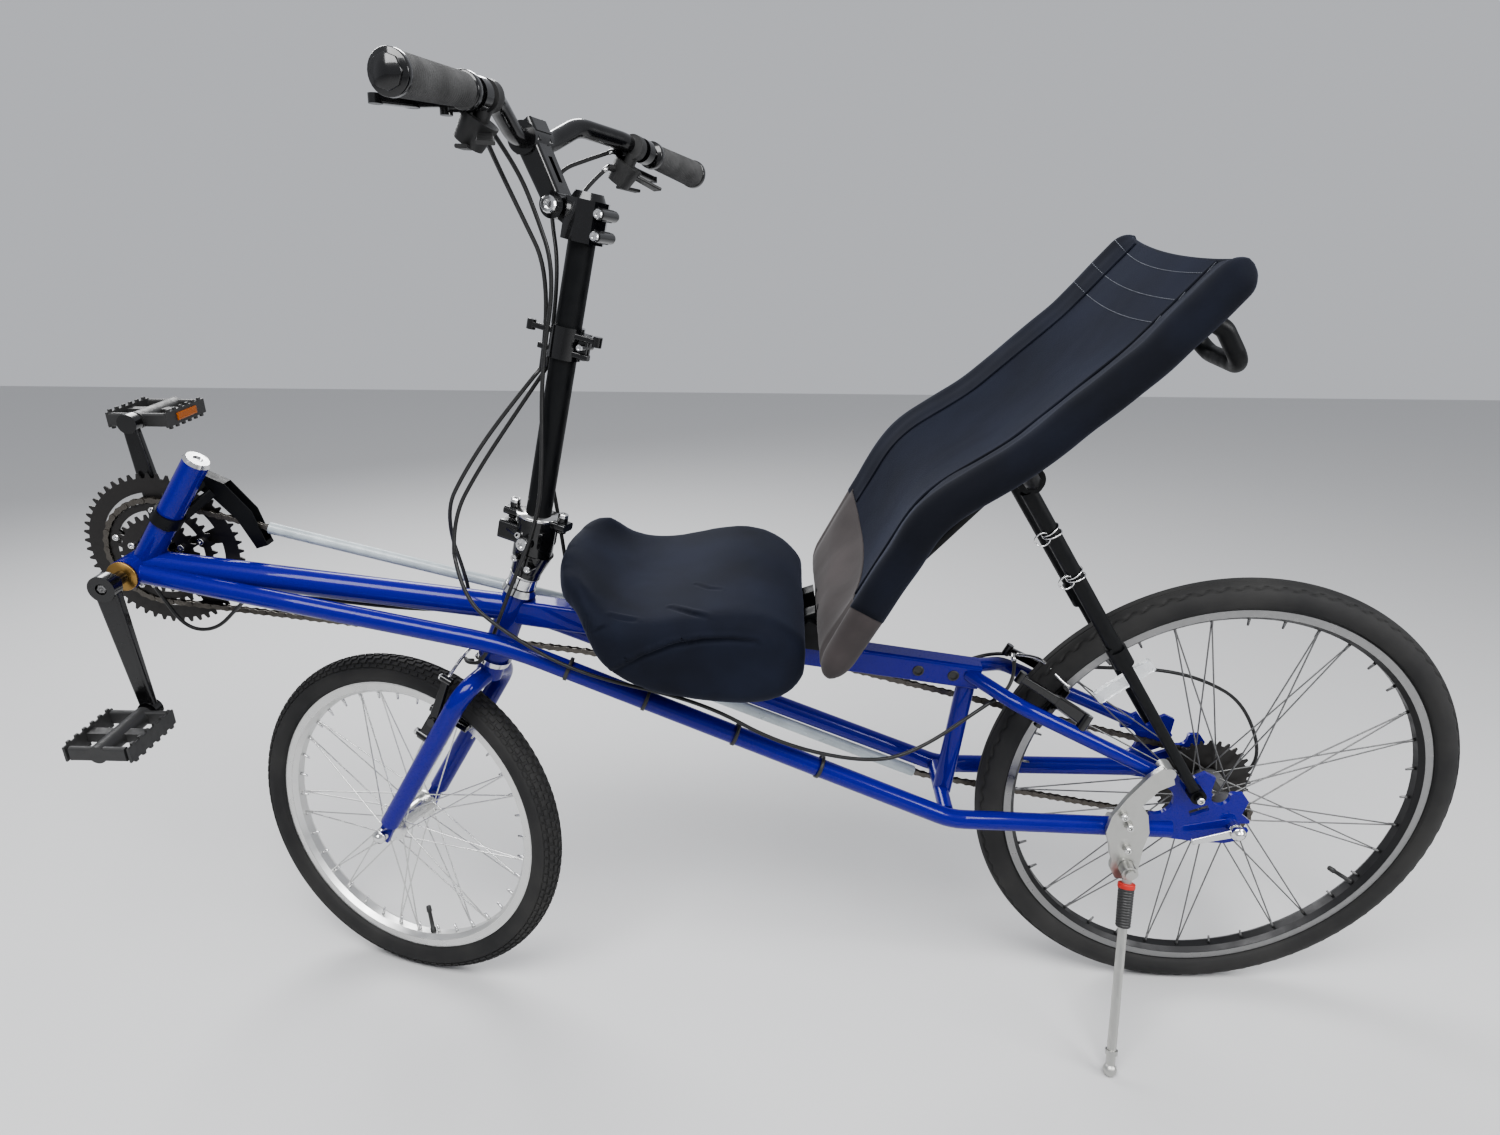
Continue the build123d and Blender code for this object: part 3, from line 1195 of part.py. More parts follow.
PIECES = [
    ("frame", "bottom_bracket", bottom_bracket),
    ("frame", "main_tube", main_tube),
    ("frame", "head_tube", head_tube),
    ("frame", "headset_cups", headset_cups),
    ("frame", "seat_beam", seat_beam),
    ("frame", "side_tube_left", lambda: side_tube(1)),
    ("frame", "side_tube_right", lambda: side_tube(-1)),
    ("frame", "rear_strut", rear_strut),
    ("frame", "seat_stays", seat_stays),
    ("frame", "dropout_left", lambda: dropout(1)),
    ("frame", "dropout_right", lambda: dropout(-1)),
    ("frame", "derailleur_post", derailleur_post),
    ("frame", "post_cap", post_cap),
    ("frame", "seat_back_frame", seat_back_frame),
    ("frame", "seat_back_sleeves", seat_back_sleeves),
    ("frame", "seat_back_sling", seat_back_sling),
    ("frame", "seat_lower_panel", seat_lower_panel),
    ("frame", "seat_pan", seat_pan),
    ("frame", "seat_cushion", seat_cushion),
    ("frame", "seat_struts", seat_struts),
    ("frame", "seat_brace", seat_brace),
    ("frame", "stand_bracket", stand_bracket),
    ("frame", "chain", chain),
    ("frame", "chain_tubes", chain_tubes),
    ("frame", "rear_derailleur", rear_derailleur),
    ("frame", "front_derailleur", front_derailleur),
    ("frame", "rear_brake", rear_brake),
    ("frame", "rear_skewer", rear_skewer),
    ("frame", "frame_cables", frame_cables),
    ("frame", "cable_loops", cable_loops),
    ("stand", "stand_leg", stand_leg),
    ("cranks", "chainrings", chainrings),
    ("cranks", "crank_right", crank_right),
    ("cranks", "crank_left", crank_left),
    ("pedal_left", "left_pedal", lambda: pedal(1)),
    ("pedal_right", "right_pedal", lambda: pedal(-1)),
    ("rear_wheel", "rear_tyre", lambda: tyre(REAR_AXLE, REAR_TYRE_R, REAR_RIM_R)),
    ("rear_wheel", "rear_rim", lambda: rim(REAR_AXLE, REAR_RIM_R)),
    ("rear_wheel", "cassette", cassette),
    ("rear_wheel", "rear_hub", rear_hub),
    ("rear_wheel", "wheel_reflector", wheel_reflector),
    ("front_wheel", "front_tyre", lambda: tyre(FRONT_AXLE, FRONT_TYRE_R, FRONT_RIM_R)),
    ("front_wheel", "front_rim", lambda: rim(FRONT_AXLE, FRONT_RIM_R)),
    ("front_wheel", "front_hub", front_hub),
    ("steering", "fork", fork),
    ("steering", "headset_nut", headset_nut),
    ("steering", "riser_clamp", riser_clamp),
    ("steering", "riser", riser),
    ("steering", "riser_collar", riser_collar),
    ("steering", "stem", stem),
    ("steering", "handlebar", handlebar),
    ("steering", "grips", grips),
    ("steering", "brake_levers", brake_levers),
    ("steering", "shifters", shifters),
    ("steering", "front_brake", front_brake),
    ("steering", "front_skewer", front_skewer),
    ("steering", "handlebar_cables", handlebar_cables),
]
STEERED = ("steering", "front_wheel")


def parked(body, shape):
    """From the upright drawing to the parked bicycle, before its origin moves."""
    if body in STEERED:
        shape = shape.rotate(STEER_AXIS, STEER_REST)
    return Rot(-LEAN, 0, 0) * shape


def build():
    """Every node by name, parked, with the origin under the middle of the box."""
    shapes = {}
    low = [math.inf] * 3
    high = [-math.inf] * 3
    for body, name, make in PIECES:
        shape = parked(body, make())
        box = shape.bounding_box()
        low = [min(a, b) for a, b in zip(low, tuple(box.min))]
        high = [max(a, b) for a, b in zip(high, tuple(box.max))]
        shapes[name] = shape
    middle = [(a + b) / 2 for a, b in zip(low, high)]
    shift = Vector(-middle[0], -middle[1], 0)
    return {name: Pos(*shift) * shape for name, shape in shapes.items()}, shift


if __name__ == "__main__":
    os.makedirs("parts", exist_ok=True)
    nodes, shift = build()
    for name, shape in nodes.items():
        export_step(shape, f"parts/{name}.step")
    print("nodes", len(nodes), "origin moved by", shift)
    print("rear axle height", REAR_Z, "fork length", FORK, "front axle", FRONT_AXLE)
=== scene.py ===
import json
import math

import bmesh
import bpy
from bpy.props import FloatProperty, FloatVectorProperty, IntProperty, PointerProperty
from bpy.types import Operator, Panel, PropertyGroup
from mathutils import Matrix, Quaternion, Vector, noise


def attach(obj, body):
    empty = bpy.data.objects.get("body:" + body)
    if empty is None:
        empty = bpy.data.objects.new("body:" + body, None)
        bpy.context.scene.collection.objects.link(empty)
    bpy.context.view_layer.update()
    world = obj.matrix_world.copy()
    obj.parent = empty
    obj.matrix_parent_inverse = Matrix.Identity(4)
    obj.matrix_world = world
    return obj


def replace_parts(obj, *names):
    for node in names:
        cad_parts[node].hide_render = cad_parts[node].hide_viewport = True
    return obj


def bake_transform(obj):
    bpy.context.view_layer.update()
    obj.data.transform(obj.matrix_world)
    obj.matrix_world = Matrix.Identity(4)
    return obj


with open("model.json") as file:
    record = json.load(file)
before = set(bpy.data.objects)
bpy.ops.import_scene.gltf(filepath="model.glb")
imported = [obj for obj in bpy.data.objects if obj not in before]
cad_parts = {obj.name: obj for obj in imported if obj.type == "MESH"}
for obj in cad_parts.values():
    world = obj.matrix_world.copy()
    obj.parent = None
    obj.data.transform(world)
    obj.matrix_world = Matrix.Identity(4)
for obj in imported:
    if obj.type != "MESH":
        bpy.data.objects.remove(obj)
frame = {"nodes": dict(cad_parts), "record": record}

bl_info = {
    "name": "Long recumbent bicycle",
    "version": (1, 0, 0),
    "blender": (4, 5, 0),
    "location": "3D View > Sidebar > Bicycle",
    "description": "Dresses the packed bicycle: soft seat, tyre tread, chain links, cables and finishes",
    "category": "Object",
}

# Places are named in millimetres on the upright bicycle, as its drawing has them: x forward from
# the rear axle, y to the rider's left, z up from the ground. They are turned into the parked frame.
MM = 0.001
RECORD = frame["record"]
JOINTS = {joint["name"]: joint for joint in RECORD["behaviour"]["joints"]}
FORWARD = Vector((1, 0, 0))
ACROSS = Vector(JOINTS["rear_wheel_spin"]["axis"])
UPRIGHT = FORWARD.cross(ACROSS)
REAR_AXLE = Vector(JOINTS["rear_wheel_spin"]["pos_m"])
FRONT_AXLE = Vector(JOINTS["front_wheel_spin"]["pos_m"])
FRONT_ACROSS = Vector(JOINTS["front_wheel_spin"]["axis"])
STEER_FOOT = Vector(JOINTS["steer"]["pos_m"])
STEER_UP = Vector(JOINTS["steer"]["axis"]).normalized()
GROUND = REAR_AXLE - UPRIGHT * (REAR_AXLE.z / UPRIGHT.z)
STEER_TURN = Quaternion(STEER_UP, -ACROSS.angle(FRONT_ACROSS))

# The drawing's driving sizes
REAR_TYRE_R = 323.0
FRONT_TYRE_R = 247.5
TYRE_HALF = 21.5
REAR_RIM_R = 287.0
FRONT_RIM_R = 210.5
RIM_HALF = 12.5
BEAM_FRONT = (950.0, 590.0)
BEAM_REAR = (337.0, 504.2)
BACK_PATH = [(541, 596), (470, 728), (440, 785), (352, 842), (240, 944), (165, 1030)]
BACK_Y = 162.0
RISER_FOOT = (917.5, 660.0)
RISER_TOP = (827.0, 1085.0)
BRACKET = (1431.5, 641.5)
HEAD_FOOT = (978.4, 518.7)
HEAD_LONG = 104.0
HEAD_ANGLE = math.radians(67)
HEAD_COS = math.cos(HEAD_ANGLE)
HEAD_SIN = math.sin(HEAD_ANGLE)
# The straight end of the handlebar, as (y, x, z): its inner and its outer end
BAR_END_POINTS = ((205, 842, 1163), (330, 830, 1153))
GRIP_LONG = 130.0
CRANK_LONG = 170.0
CRANK_ANGLE = -97.2
AXLE_HEIGHT = REAR_AXLE.z / UPRIGHT.z / MM
# From the head tube's foot down the steering axis to the height of the front axle
FRONT_DROP = 311.424


def on_bike(x, y, z):
    """A point of the upright bicycle, in the parked frame."""
    return GROUND + (FORWARD * x + ACROSS * y + UPRIGHT * z) * MM


def on_bars(x, y, z):
    """A point drawn with the steering straight, in the parked frame."""
    return STEER_FOOT + STEER_TURN @ (on_bike(x, y, z) - STEER_FOOT)


def riser_spot(height, ahead=0.0, side=0.0):
    """A point by its distance up the riser from its foot."""
    run = Vector((RISER_TOP[0] - RISER_FOOT[0], RISER_TOP[1] - RISER_FOOT[1])).normalized()
    x = RISER_FOOT[0] + run.x * height + run.y * ahead
    z = RISER_FOOT[1] + run.y * height - run.x * ahead
    return on_bars(x, side, z)


def steer_spot(along, ahead=0.0, side=0.0):
    """A point by its height along the steering axis above the head tube's foot, steered."""
    x = HEAD_FOOT[0] - HEAD_COS * along + HEAD_SIN * ahead
    z = HEAD_FOOT[1] + HEAD_SIN * along + HEAD_COS * ahead
    return on_bars(x, side, z)


def bar_run(side):
    """Direction of the straight end of the handlebar outwards, with the steering straight."""
    (y0, x0, z0), (y1, x1, z1) = BAR_END_POINTS
    return Vector((x1 - x0, side * (y1 - y0), z1 - z0)).normalized()


def bar_spot(side, inwards, off=(0, 0, 0)):
    """A point by its distance inwards from the end of the handlebar, before steering, in millimetres."""
    y, x, z = BAR_END_POINTS[1]
    return Vector((x, side * y, z)) - bar_run(side) * inwards + Vector(off)


def on_line(value, start, end):
    """The second measure of a line's point from its first."""
    return start[1] + (value - start[0]) * (end[1] - start[1]) / (end[0] - start[0])


def riser_front(side, z):
    """A housing's place ahead of the riser at a height; one beside the riser runs closer to it."""
    middle = on_line(z, RISER_FOOT[::-1], RISER_TOP[::-1])
    return Vector((middle + (AHEAD_OF_RISER if abs(side) < 10 else BESIDE_RISER), side, z))


AHEAD_OF_RISER = 24
BESIDE_RISER = 16


def ease(value, low, high):
    """A share from 0 at the low value to 1 at the high one, with soft ends."""
    share = max(0.0, min(1.0, (value - low) / (high - low)))
    return share * share * (3 - 2 * share)


# Settings

class FinishSettings(PropertyGroup):
    paint: FloatVectorProperty(name="Frame paint", description="Blue enamel of the frame and fork",
                               subtype="COLOR", default=(0.005, 0.0004, 0.19))
    fabric: FloatVectorProperty(name="Seat fabric", description="Stretch fabric of the seat",
                                subtype="COLOR", default=(0.0052, 0.007, 0.0145))
    panel: FloatVectorProperty(name="Lower panel", description="Panel at the foot of the seat back",
                               subtype="COLOR", default=(0.05, 0.043, 0.043))
    floor: FloatVectorProperty(name="Floor", description="Plain studio floor", subtype="COLOR",
                               default=(0.62, 0.62, 0.62))


class SeatSettings(PropertyGroup):
    foam_grid: FloatProperty(name="Foam grid", description="Grid on which the cushion is remeshed",
                             subtype="DISTANCE", unit="LENGTH", default=0.006, min=0.003, max=0.02)
    soften: IntProperty(name="Foam rounding", description="Smoothing passes over the cushion's edges",
                        default=7, min=0, max=40)
    sag: FloatProperty(name="Sling sag", description="How far the sling hangs below its rails",
                       subtype="DISTANCE", unit="LENGTH", default=0.014, min=0.0, max=0.05)
    stitch: FloatProperty(name="Stitch length", description="Length of one stitch with its gap",
                          subtype="DISTANCE", unit="LENGTH", default=0.0042, min=0.002, max=0.02)


class TyreSettings(PropertyGroup):
    lugs: IntProperty(name="Front lugs", description="Rows of tread blocks round the front tyre",
                      default=112, min=40, max=200)
    waves: IntProperty(name="Rear waves", description="Scallops of the groove round the rear tyre",
                       default=84, min=20, max=160)
    groove: FloatProperty(name="Groove depth", description="Depth of the rear tyre's grooves",
                          subtype="DISTANCE", unit="LENGTH", default=0.0019, min=0.0, max=0.004)


class ChainSettings(PropertyGroup):
    pins: IntProperty(name="Pins", description="Links of the chain, an even number",
                      default=278, min=100, max=400)
    plate: FloatProperty(name="Plate height", description="Height of a link plate at its pins",
                         subtype="DISTANCE", unit="LENGTH", default=0.0084, min=0.004, max=0.012)


class CableSettings(PropertyGroup):
    radius: FloatProperty(name="Housing radius", description="Radius of the cable housings",
                          subtype="DISTANCE", unit="LENGTH", default=0.0025, min=0.001, max=0.005)


# Making meshes

def new_piece(name, mesh, *finishes):
    """An object at the origin that holds a mesh, with its materials."""
    piece = bpy.data.objects.new(name, mesh)
    bpy.context.scene.collection.objects.link(piece)
    for finish in finishes:
        mesh.materials.append(finish)
    return piece


def dressed(name, mesh, finish, body, slot, *replaced):
    """A piece with its finish, the body that it moves with and the nodes that it replaces; slot is not used.
    """
    piece = new_piece(name, mesh, FINISHES[finish])
    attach(piece, body)
    if replaced:
        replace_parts(piece, *replaced)
    return piece


def grid_faces(rows, count, wrap=True, again=False):
    """Faces between rows of points; wrap closes each row, and again joins the last row to the first."""
    faces = []
    for i in range(rows if again else rows - 1):
        j = (i + 1) % rows
        for k in range(count if wrap else count - 1):
            n = (k + 1) % count
            faces.append((i * count + k, i * count + n, j * count + n, j * count + k))
    return faces


def mesh_of(name, points, faces, smooth=True):
    """A mesh from its points and faces."""
    mesh = bpy.data.meshes.new(name)
    mesh.from_pydata([tuple(p) for p in points], [], faces)
    mesh.polygons.foreach_set("use_smooth", [smooth] * len(mesh.polygons))
    mesh.update()
    return mesh


def tube_mesh(name, path, radius, sides=12, closed=False):
    """A round tube along a path; radius is a number or one for each point."""
    radii = radius if isinstance(radius, list) else [radius] * len(path)
    count = len(path)
    runs = []
    for i in range(count):
        a = path[i - 1] if i or closed else path[0]
        b = path[(i + 1) % count] if i + 1 < count or closed else path[-1]
        runs.append((b - a).normalized())
    side = runs[0].orthogonal().normalized()
    points = []
    for i, (p, run) in enumerate(zip(path, runs)):
        side = (side - run * side.dot(run)).normalized()
        other = run.cross(side)
        for k in range(sides):
            angle = 2 * math.pi * k / sides
            points.append(p + (side * math.cos(angle) + other * math.sin(angle)) * radii[i])
    faces = grid_faces(count, sides, again=closed)
    if not closed:
        faces.append(tuple(reversed(range(sides))))
        faces.append(tuple(range((count - 1) * sides, count * sides)))
    return mesh_of(name, points, faces)


def joined(name, meshes):
    """One mesh from several, which are removed."""
    build = bmesh.new()
    for mesh in meshes:
        build.from_mesh(mesh)
        bpy.data.meshes.remove(mesh)
    out = bpy.data.meshes.new(name)
    build.to_mesh(out)
    build.free()
    return out


def face_outwards(mesh, merge=True):
    """Turns a mesh's faces outwards, as a rule after its doubles are merged."""
    build = bmesh.new()
    build.from_mesh(mesh)
    if merge:
        bmesh.ops.remove_doubles(build, verts=build.verts, dist=1e-6)
    bmesh.ops.recalc_face_normals(build, faces=build.faces)
    build.to_mesh(mesh)
    build.free()


def applied(piece):
    """Turns a piece's modifiers into its plain mesh."""
    graph = bpy.context.evaluated_depsgraph_get()
    mesh = bpy.data.meshes.new_from_object(piece.evaluated_get(graph), depsgraph=graph)
    old = piece.data
    piece.modifiers.clear()
    piece.data = mesh
    if old.users == 0 and isinstance(old, bpy.types.Mesh):
        bpy.data.meshes.remove(old)
    return piece


# Geometry Nodes

class Grower:
    """A Geometry Nodes tree under construction, with named inputs for its sizes."""

    def __init__(self, name):
        self.tree = bpy.data.node_groups.new(name, "GeometryNodeTree")
        self.tree.interface.new_socket("Geometry", in_out="INPUT", socket_type="NodeSocketGeometry")
        self.tree.interface.new_socket("Geometry", in_out="OUTPUT", socket_type="NodeSocketGeometry")
        self.keys = {}

    def size(self, name, kind, default):
        socket = self.tree.interface.new_socket(name, in_out="INPUT", socket_type="NodeSocket" + kind)
        if default is not None:
            socket.default_value = default
        self.keys[name] = socket.identifier

    def open(self):
        self.given = self.tree.nodes.new("NodeGroupInput").outputs
        return self.given

    def node(self, kind, settings=None, **links):
        item = self.tree.nodes.new(kind)
        for key, value in (settings or {}).items():
            setattr(item, key, value)
        for key, value in links.items():
            socket = item.inputs[int(key[1:])] if key[0] == "i" and key[1:].isdigit() else item.inputs[key]
            if isinstance(value, bpy.types.NodeSocket):
                self.tree.links.new(value, socket)
            else:
                socket.default_value = value
        return item

    def close(self, geometry, material):
        real = self.node("GeometryNodeRealizeInstances", Geometry=geometry)
        painted = self.node("GeometryNodeSetMaterial", Geometry=real.outputs[0], Material=material)
        end = self.tree.nodes.new("NodeGroupOutput")
        self.tree.links.new(painted.outputs[0], end.inputs[0])


def ring_grower():
    """Copies of one template in a ring about an axle."""
    grow = Grower("copies_in_a_ring")
    for name, kind, default in (("Copies", "Int", 36), ("Centre", "Vector", None), ("Axle", "Vector", None),
                                ("Start", "Float", 0.0), ("Finish", "Material", None)):
        grow.size(name, kind, default)
    given = grow.open()
    spots = grow.node("GeometryNodePoints", Count=given["Copies"], Position=given["Centre"])
    index = grow.node("GeometryNodeInputIndex")
    share = grow.node("ShaderNodeMath", {"operation": "DIVIDE"}, i0=index.outputs[0], i1=given["Copies"])
    turn = grow.node("ShaderNodeMath", {"operation": "MULTIPLY_ADD"}, i0=share.outputs[0], i1=2 * math.pi,
                     i2=given["Start"])
    spin = grow.node("FunctionNodeAxisAngleToRotation", Axis=given["Axle"], Angle=turn.outputs[0])
    back = grow.node("ShaderNodeVectorMath", {"operation": "SCALE"}, i0=given["Centre"], Scale=-1.0)
    template = grow.node("GeometryNodeTransform", Geometry=given["Geometry"], Translation=back.outputs[0])
    copies = grow.node("GeometryNodeInstanceOnPoints", Points=spots.outputs[0], Instance=template.outputs[0],
                       Rotation=spin.outputs[0])
    grow.close(copies.outputs[0], given["Finish"])
    return grow


def path_grower():
    """Two templates in turn at even steps along a curve, turned to its run."""
    grow = Grower("copies_along_a_path")
    for name, kind, default in (("First", "Object", None), ("Second", "Object", None), ("Copies", "Int", 10),
                                ("Side", "Vector", None), ("Finish", "Material", None)):
        grow.size(name, kind, default)
    given = grow.open()
    even = grow.node("GeometryNodeResampleCurve", Curve=given["Geometry"], Count=given["Copies"])
    run = grow.node("GeometryNodeInputTangent")
    turn = grow.node("FunctionNodeAxesToRotation", {"primary_axis": "X", "secondary_axis": "Y"},
                     i0=run.outputs[0], i1=given["Side"])
    index = grow.node("GeometryNodeInputIndex")
    half = grow.node("ShaderNodeMath", {"operation": "MODULO"}, i0=index.outputs[0], i1=2.0)
    odd = grow.node("FunctionNodeCompare", {"operation": "GREATER_THAN"}, i0=half.outputs[0], i1=0.5)
    even_one = grow.node("FunctionNodeBooleanMath", {"operation": "NOT"}, i0=odd.outputs[0])
    both = grow.node("GeometryNodeJoinGeometry")
    for name, chosen in (("First", even_one), ("Second", odd)):
        template = grow.node("GeometryNodeObjectInfo", Object=given[name])
        copies = grow.node("GeometryNodeInstanceOnPoints", Points=even.outputs[0],
                           Selection=chosen.outputs[0], Instance=template.outputs["Geometry"],
                           Rotation=turn.outputs[0])
        grow.tree.links.new(copies.outputs[0], both.inputs[0])
    grow.close(both.outputs[0], given["Finish"])
    return grow


def grown(piece, grow, **sizes):
    """The piece's modifier is set, evaluated and turned into a plain mesh."""
    modifier = piece.modifiers.new("grow", "NODES")
    modifier.node_group = grow.tree
    for name, value in sizes.items():
        modifier[grow.keys[name]] = value
    finish = sizes["Finish"]
    if isinstance(piece.data, bpy.types.Mesh):
        applied(piece)
        done = piece
    else:
        graph = bpy.context.evaluated_depsgraph_get()
        mesh = bpy.data.meshes.new_from_object(piece.evaluated_get(graph), depsgraph=graph)
        done = bpy.data.objects.new(piece.name, mesh)
        bpy.context.scene.collection.objects.link(done)
        curve = piece.data
        name = piece.name
        bpy.data.objects.remove(piece)
        bpy.data.curves.remove(curve)
        done.name = name
    done.data.materials.clear()
    done.data.materials.append(finish)
    return done


def curve_piece(name, points, closed=False):
    """A curve of straight runs, for a modifier to grow copies along."""
    curve = bpy.data.curves.new(name, "CURVE")
    curve.dimensions = "3D"
    line = curve.splines.new("POLY")
    line.points.add(len(points) - 1)
    line.use_cyclic_u = closed
    for spot, p in zip(line.points, points):
        spot.co = (*p, 1)
    piece = bpy.data.objects.new(name, curve)
    bpy.context.scene.collection.objects.link(piece)
    return piece


# Finishes

def shader(name, colour, roughness, inputs=None):
    """A material by its name, made once, with the shader's other inputs by their names."""
    material = bpy.data.materials.get(name)
    if material:
        return material
    material = bpy.data.materials.new(name)
    material.use_nodes = True
    surface = material.node_tree.nodes["Principled BSDF"]
    surface.inputs["Base Color"].default_value = (*colour, 1)
    surface.inputs["Roughness"].default_value = roughness
    for key, value in (inputs or {}).items():
        surface.inputs[key].default_value = value
    return material


def texture_nodes(material, kind, scale, **settings):
    """The material's tree and a new texture in it, on Object coordinates."""
    tree = material.node_tree
    place = tree.nodes.new("ShaderNodeTexCoord")
    texture = tree.nodes.new("ShaderNodeTex" + kind)
    texture.inputs["Scale"].default_value = scale
    for key, value in settings.items():
        texture.inputs[key].default_value = value
    tree.links.new(place.outputs["Object"], texture.inputs["Vector"])
    return tree, texture


def add_bump(material, kind, scale, depth, strength):
    """Fine relief from a texture, of a depth in metres."""
    tree, texture = texture_nodes(material, kind, scale)
    bump = tree.nodes.new("ShaderNodeBump")
    bump.inputs["Strength"].default_value = strength
    bump.inputs["Distance"].default_value = depth
    tree.links.new(texture.outputs[0], bump.inputs["Height"])
    tree.links.new(bump.outputs[0], tree.nodes["Principled BSDF"].inputs["Normal"])
    return material


def add_mottle(material, scale, low, high, detail=4.0):
    """The base colour varies between two colours with a noise."""
    tree, texture = texture_nodes(material, "Noise", scale, Detail=detail)
    ramp = tree.nodes.new("ShaderNodeValToRGB")
    ramp.color_ramp.elements[0].position = 0.35
    ramp.color_ramp.elements[0].color = (*low, 1)
    ramp.color_ramp.elements[1].position = 0.68
    ramp.color_ramp.elements[1].color = (*high, 1)
    tree.links.new(texture.outputs[0], ramp.inputs[0])
    tree.links.new(ramp.outputs[0], tree.nodes["Principled BSDF"].inputs["Base Color"])
    return material


def add_roughness(material, scale, low, high, detail=5.0):
    """The roughness varies with a noise, as handling and dust leave it."""
    tree, texture = texture_nodes(material, "Noise", scale, Detail=detail)
    spread = tree.nodes.new("ShaderNodeMapRange")
    spread.inputs["From Min"].default_value = 0.3
    spread.inputs["From Max"].default_value = 0.7
    spread.inputs["To Min"].default_value = low
    spread.inputs["To Max"].default_value = high
    tree.links.new(texture.outputs[0], spread.inputs[0])
    tree.links.new(spread.outputs[0], tree.nodes["Principled BSDF"].inputs["Roughness"])
    return material


def shade(colour, factor):
    """A lighter or darker colour."""
    return tuple(c * factor for c in colour)


# Metals, paints and plastics: key, material, colour, roughness, its noise (scale, low, high), other inputs
PLAIN_FINISHES = (
    ("powder", "black_powder_coat", (0.0045, 0.005, 0.0058), 0.4, (70.0, 0.34, 0.55),
     {"Specular IOR Level": 0.25}),
    ("gloss", "black_gloss_paint", (0.004, 0.004, 0.0045), 0.2, (80.0, 0.16, 0.3),
     {"Specular IOR Level": 0.4, "Coat Weight": 0.7, "Coat Roughness": 0.06}),
    ("plastic", "black_plastic", (0.008, 0.008, 0.0085), 0.45, (110.0, 0.36, 0.56),
     {"Specular IOR Level": 0.4}),
    ("silver", "polished_alloy", (0.66, 0.66, 0.65), 0.24, (60.0, 0.14, 0.32), {"Metallic": 1.0}),
    ("cast", "cast_alloy", (0.5, 0.5, 0.48), 0.42, (90.0, 0.28, 0.5), {"Metallic": 1.0}),
    ("rim", "anodised_rim", (0.7, 0.7, 0.69), 0.36, (40.0, 0.28, 0.45), {"Metallic": 1.0}),
    ("black_rim", "black_rim", (0.02, 0.02, 0.021), 0.4, (50.0, 0.3, 0.5), {"Metallic": 0.4}),
    ("brake_band", "brake_band", (0.3, 0.3, 0.3), 0.35, (130.0, 0.25, 0.45), {"Metallic": 1.0}),
    ("chrome", "bright_steel", (0.72, 0.72, 0.71), 0.14, (120.0, 0.08, 0.26), {"Metallic": 1.0}),
    ("dark_steel", "dark_steel", (0.07, 0.066, 0.063), 0.36, (150.0, 0.25, 0.55), {"Metallic": 0.85}),
    ("rings", "ring_steel", (0.045, 0.043, 0.042), 0.4, (150.0, 0.28, 0.55), {"Metallic": 0.7}),
    ("chain", "oiled_chain", (0.13, 0.12, 0.108), 0.34, (400.0, 0.22, 0.6), {"Metallic": 0.9}),
    ("housing", "cable_housing", (0.006, 0.006, 0.0065), 0.35, (90.0, 0.28, 0.46),
     {"Specular IOR Level": 0.4}),
    ("red", "red_ring", (0.45, 0.03, 0.02), 0.4, (90.0, 0.3, 0.5), {}),
    ("brass", "brass_cup", (0.35, 0.22, 0.08), 0.35, (90.0, 0.25, 0.45), {"Metallic": 1.0}),
)
# Relief on them: key, texture, scale, depth in metres, strength
RELIEF = (("powder", "Noise", 1400.0, 0.0001, 0.3), ("plastic", "Noise", 900.0, 0.0001, 0.25),
          ("cast", "Noise", 500.0, 0.0002, 0.4))
# Reflectors: key, material, colour, roughness, transmission, and the scale and strength of their facets
REFLECTORS = (("clear", "clear_reflector", (0.9, 0.92, 0.93), 0.12, 0.55, 420.0, 0.5),
              ("amber", "amber_reflector", (0.5, 0.13, 0.01), 0.15, 0.3, 520.0, 0.6))
# The seat's cloths: key, material, setting and its share for the base, roughness, gloss, sheen, its
# roughness, the mottle's scale and two shares, and the weave's texture, scale, depth and strength
CLOTHS = (
    ("fabric", "stretch_fabric", "fabric", 1.0, 0.85, 0.25, 0.12, 0.35, (9.0, 0.75, 1.7),
     ("Noise", 1800.0, 0.0002, 0.5)),
    ("sleeve", "stretch_sleeve", "fabric", 0.8, 0.85, 0.25, 0.12, 0.35, (9.0, 0.75 * 0.8, 1.7 * 0.8),
     ("Noise", 1800.0, 0.0002, 0.5)),
    ("sling", "sling_mesh", "fabric", 1.1, 0.9, 0.2, 0.1, 0.4, (7.0, 0.8, 1.6),
     ("Voronoi", 620.0, 0.0004, 0.6)),
    ("panel", "taupe_panel", "panel", 1.0, 0.82, 0.25, 0.12, 0.4, (12.0, 0.8, 1.25),
     ("Noise", 1500.0, 0.0002, 0.4)),
)
BLUE_SHEEN = (0.45, 0.5, 0.7, 1)
FINISHES = {}


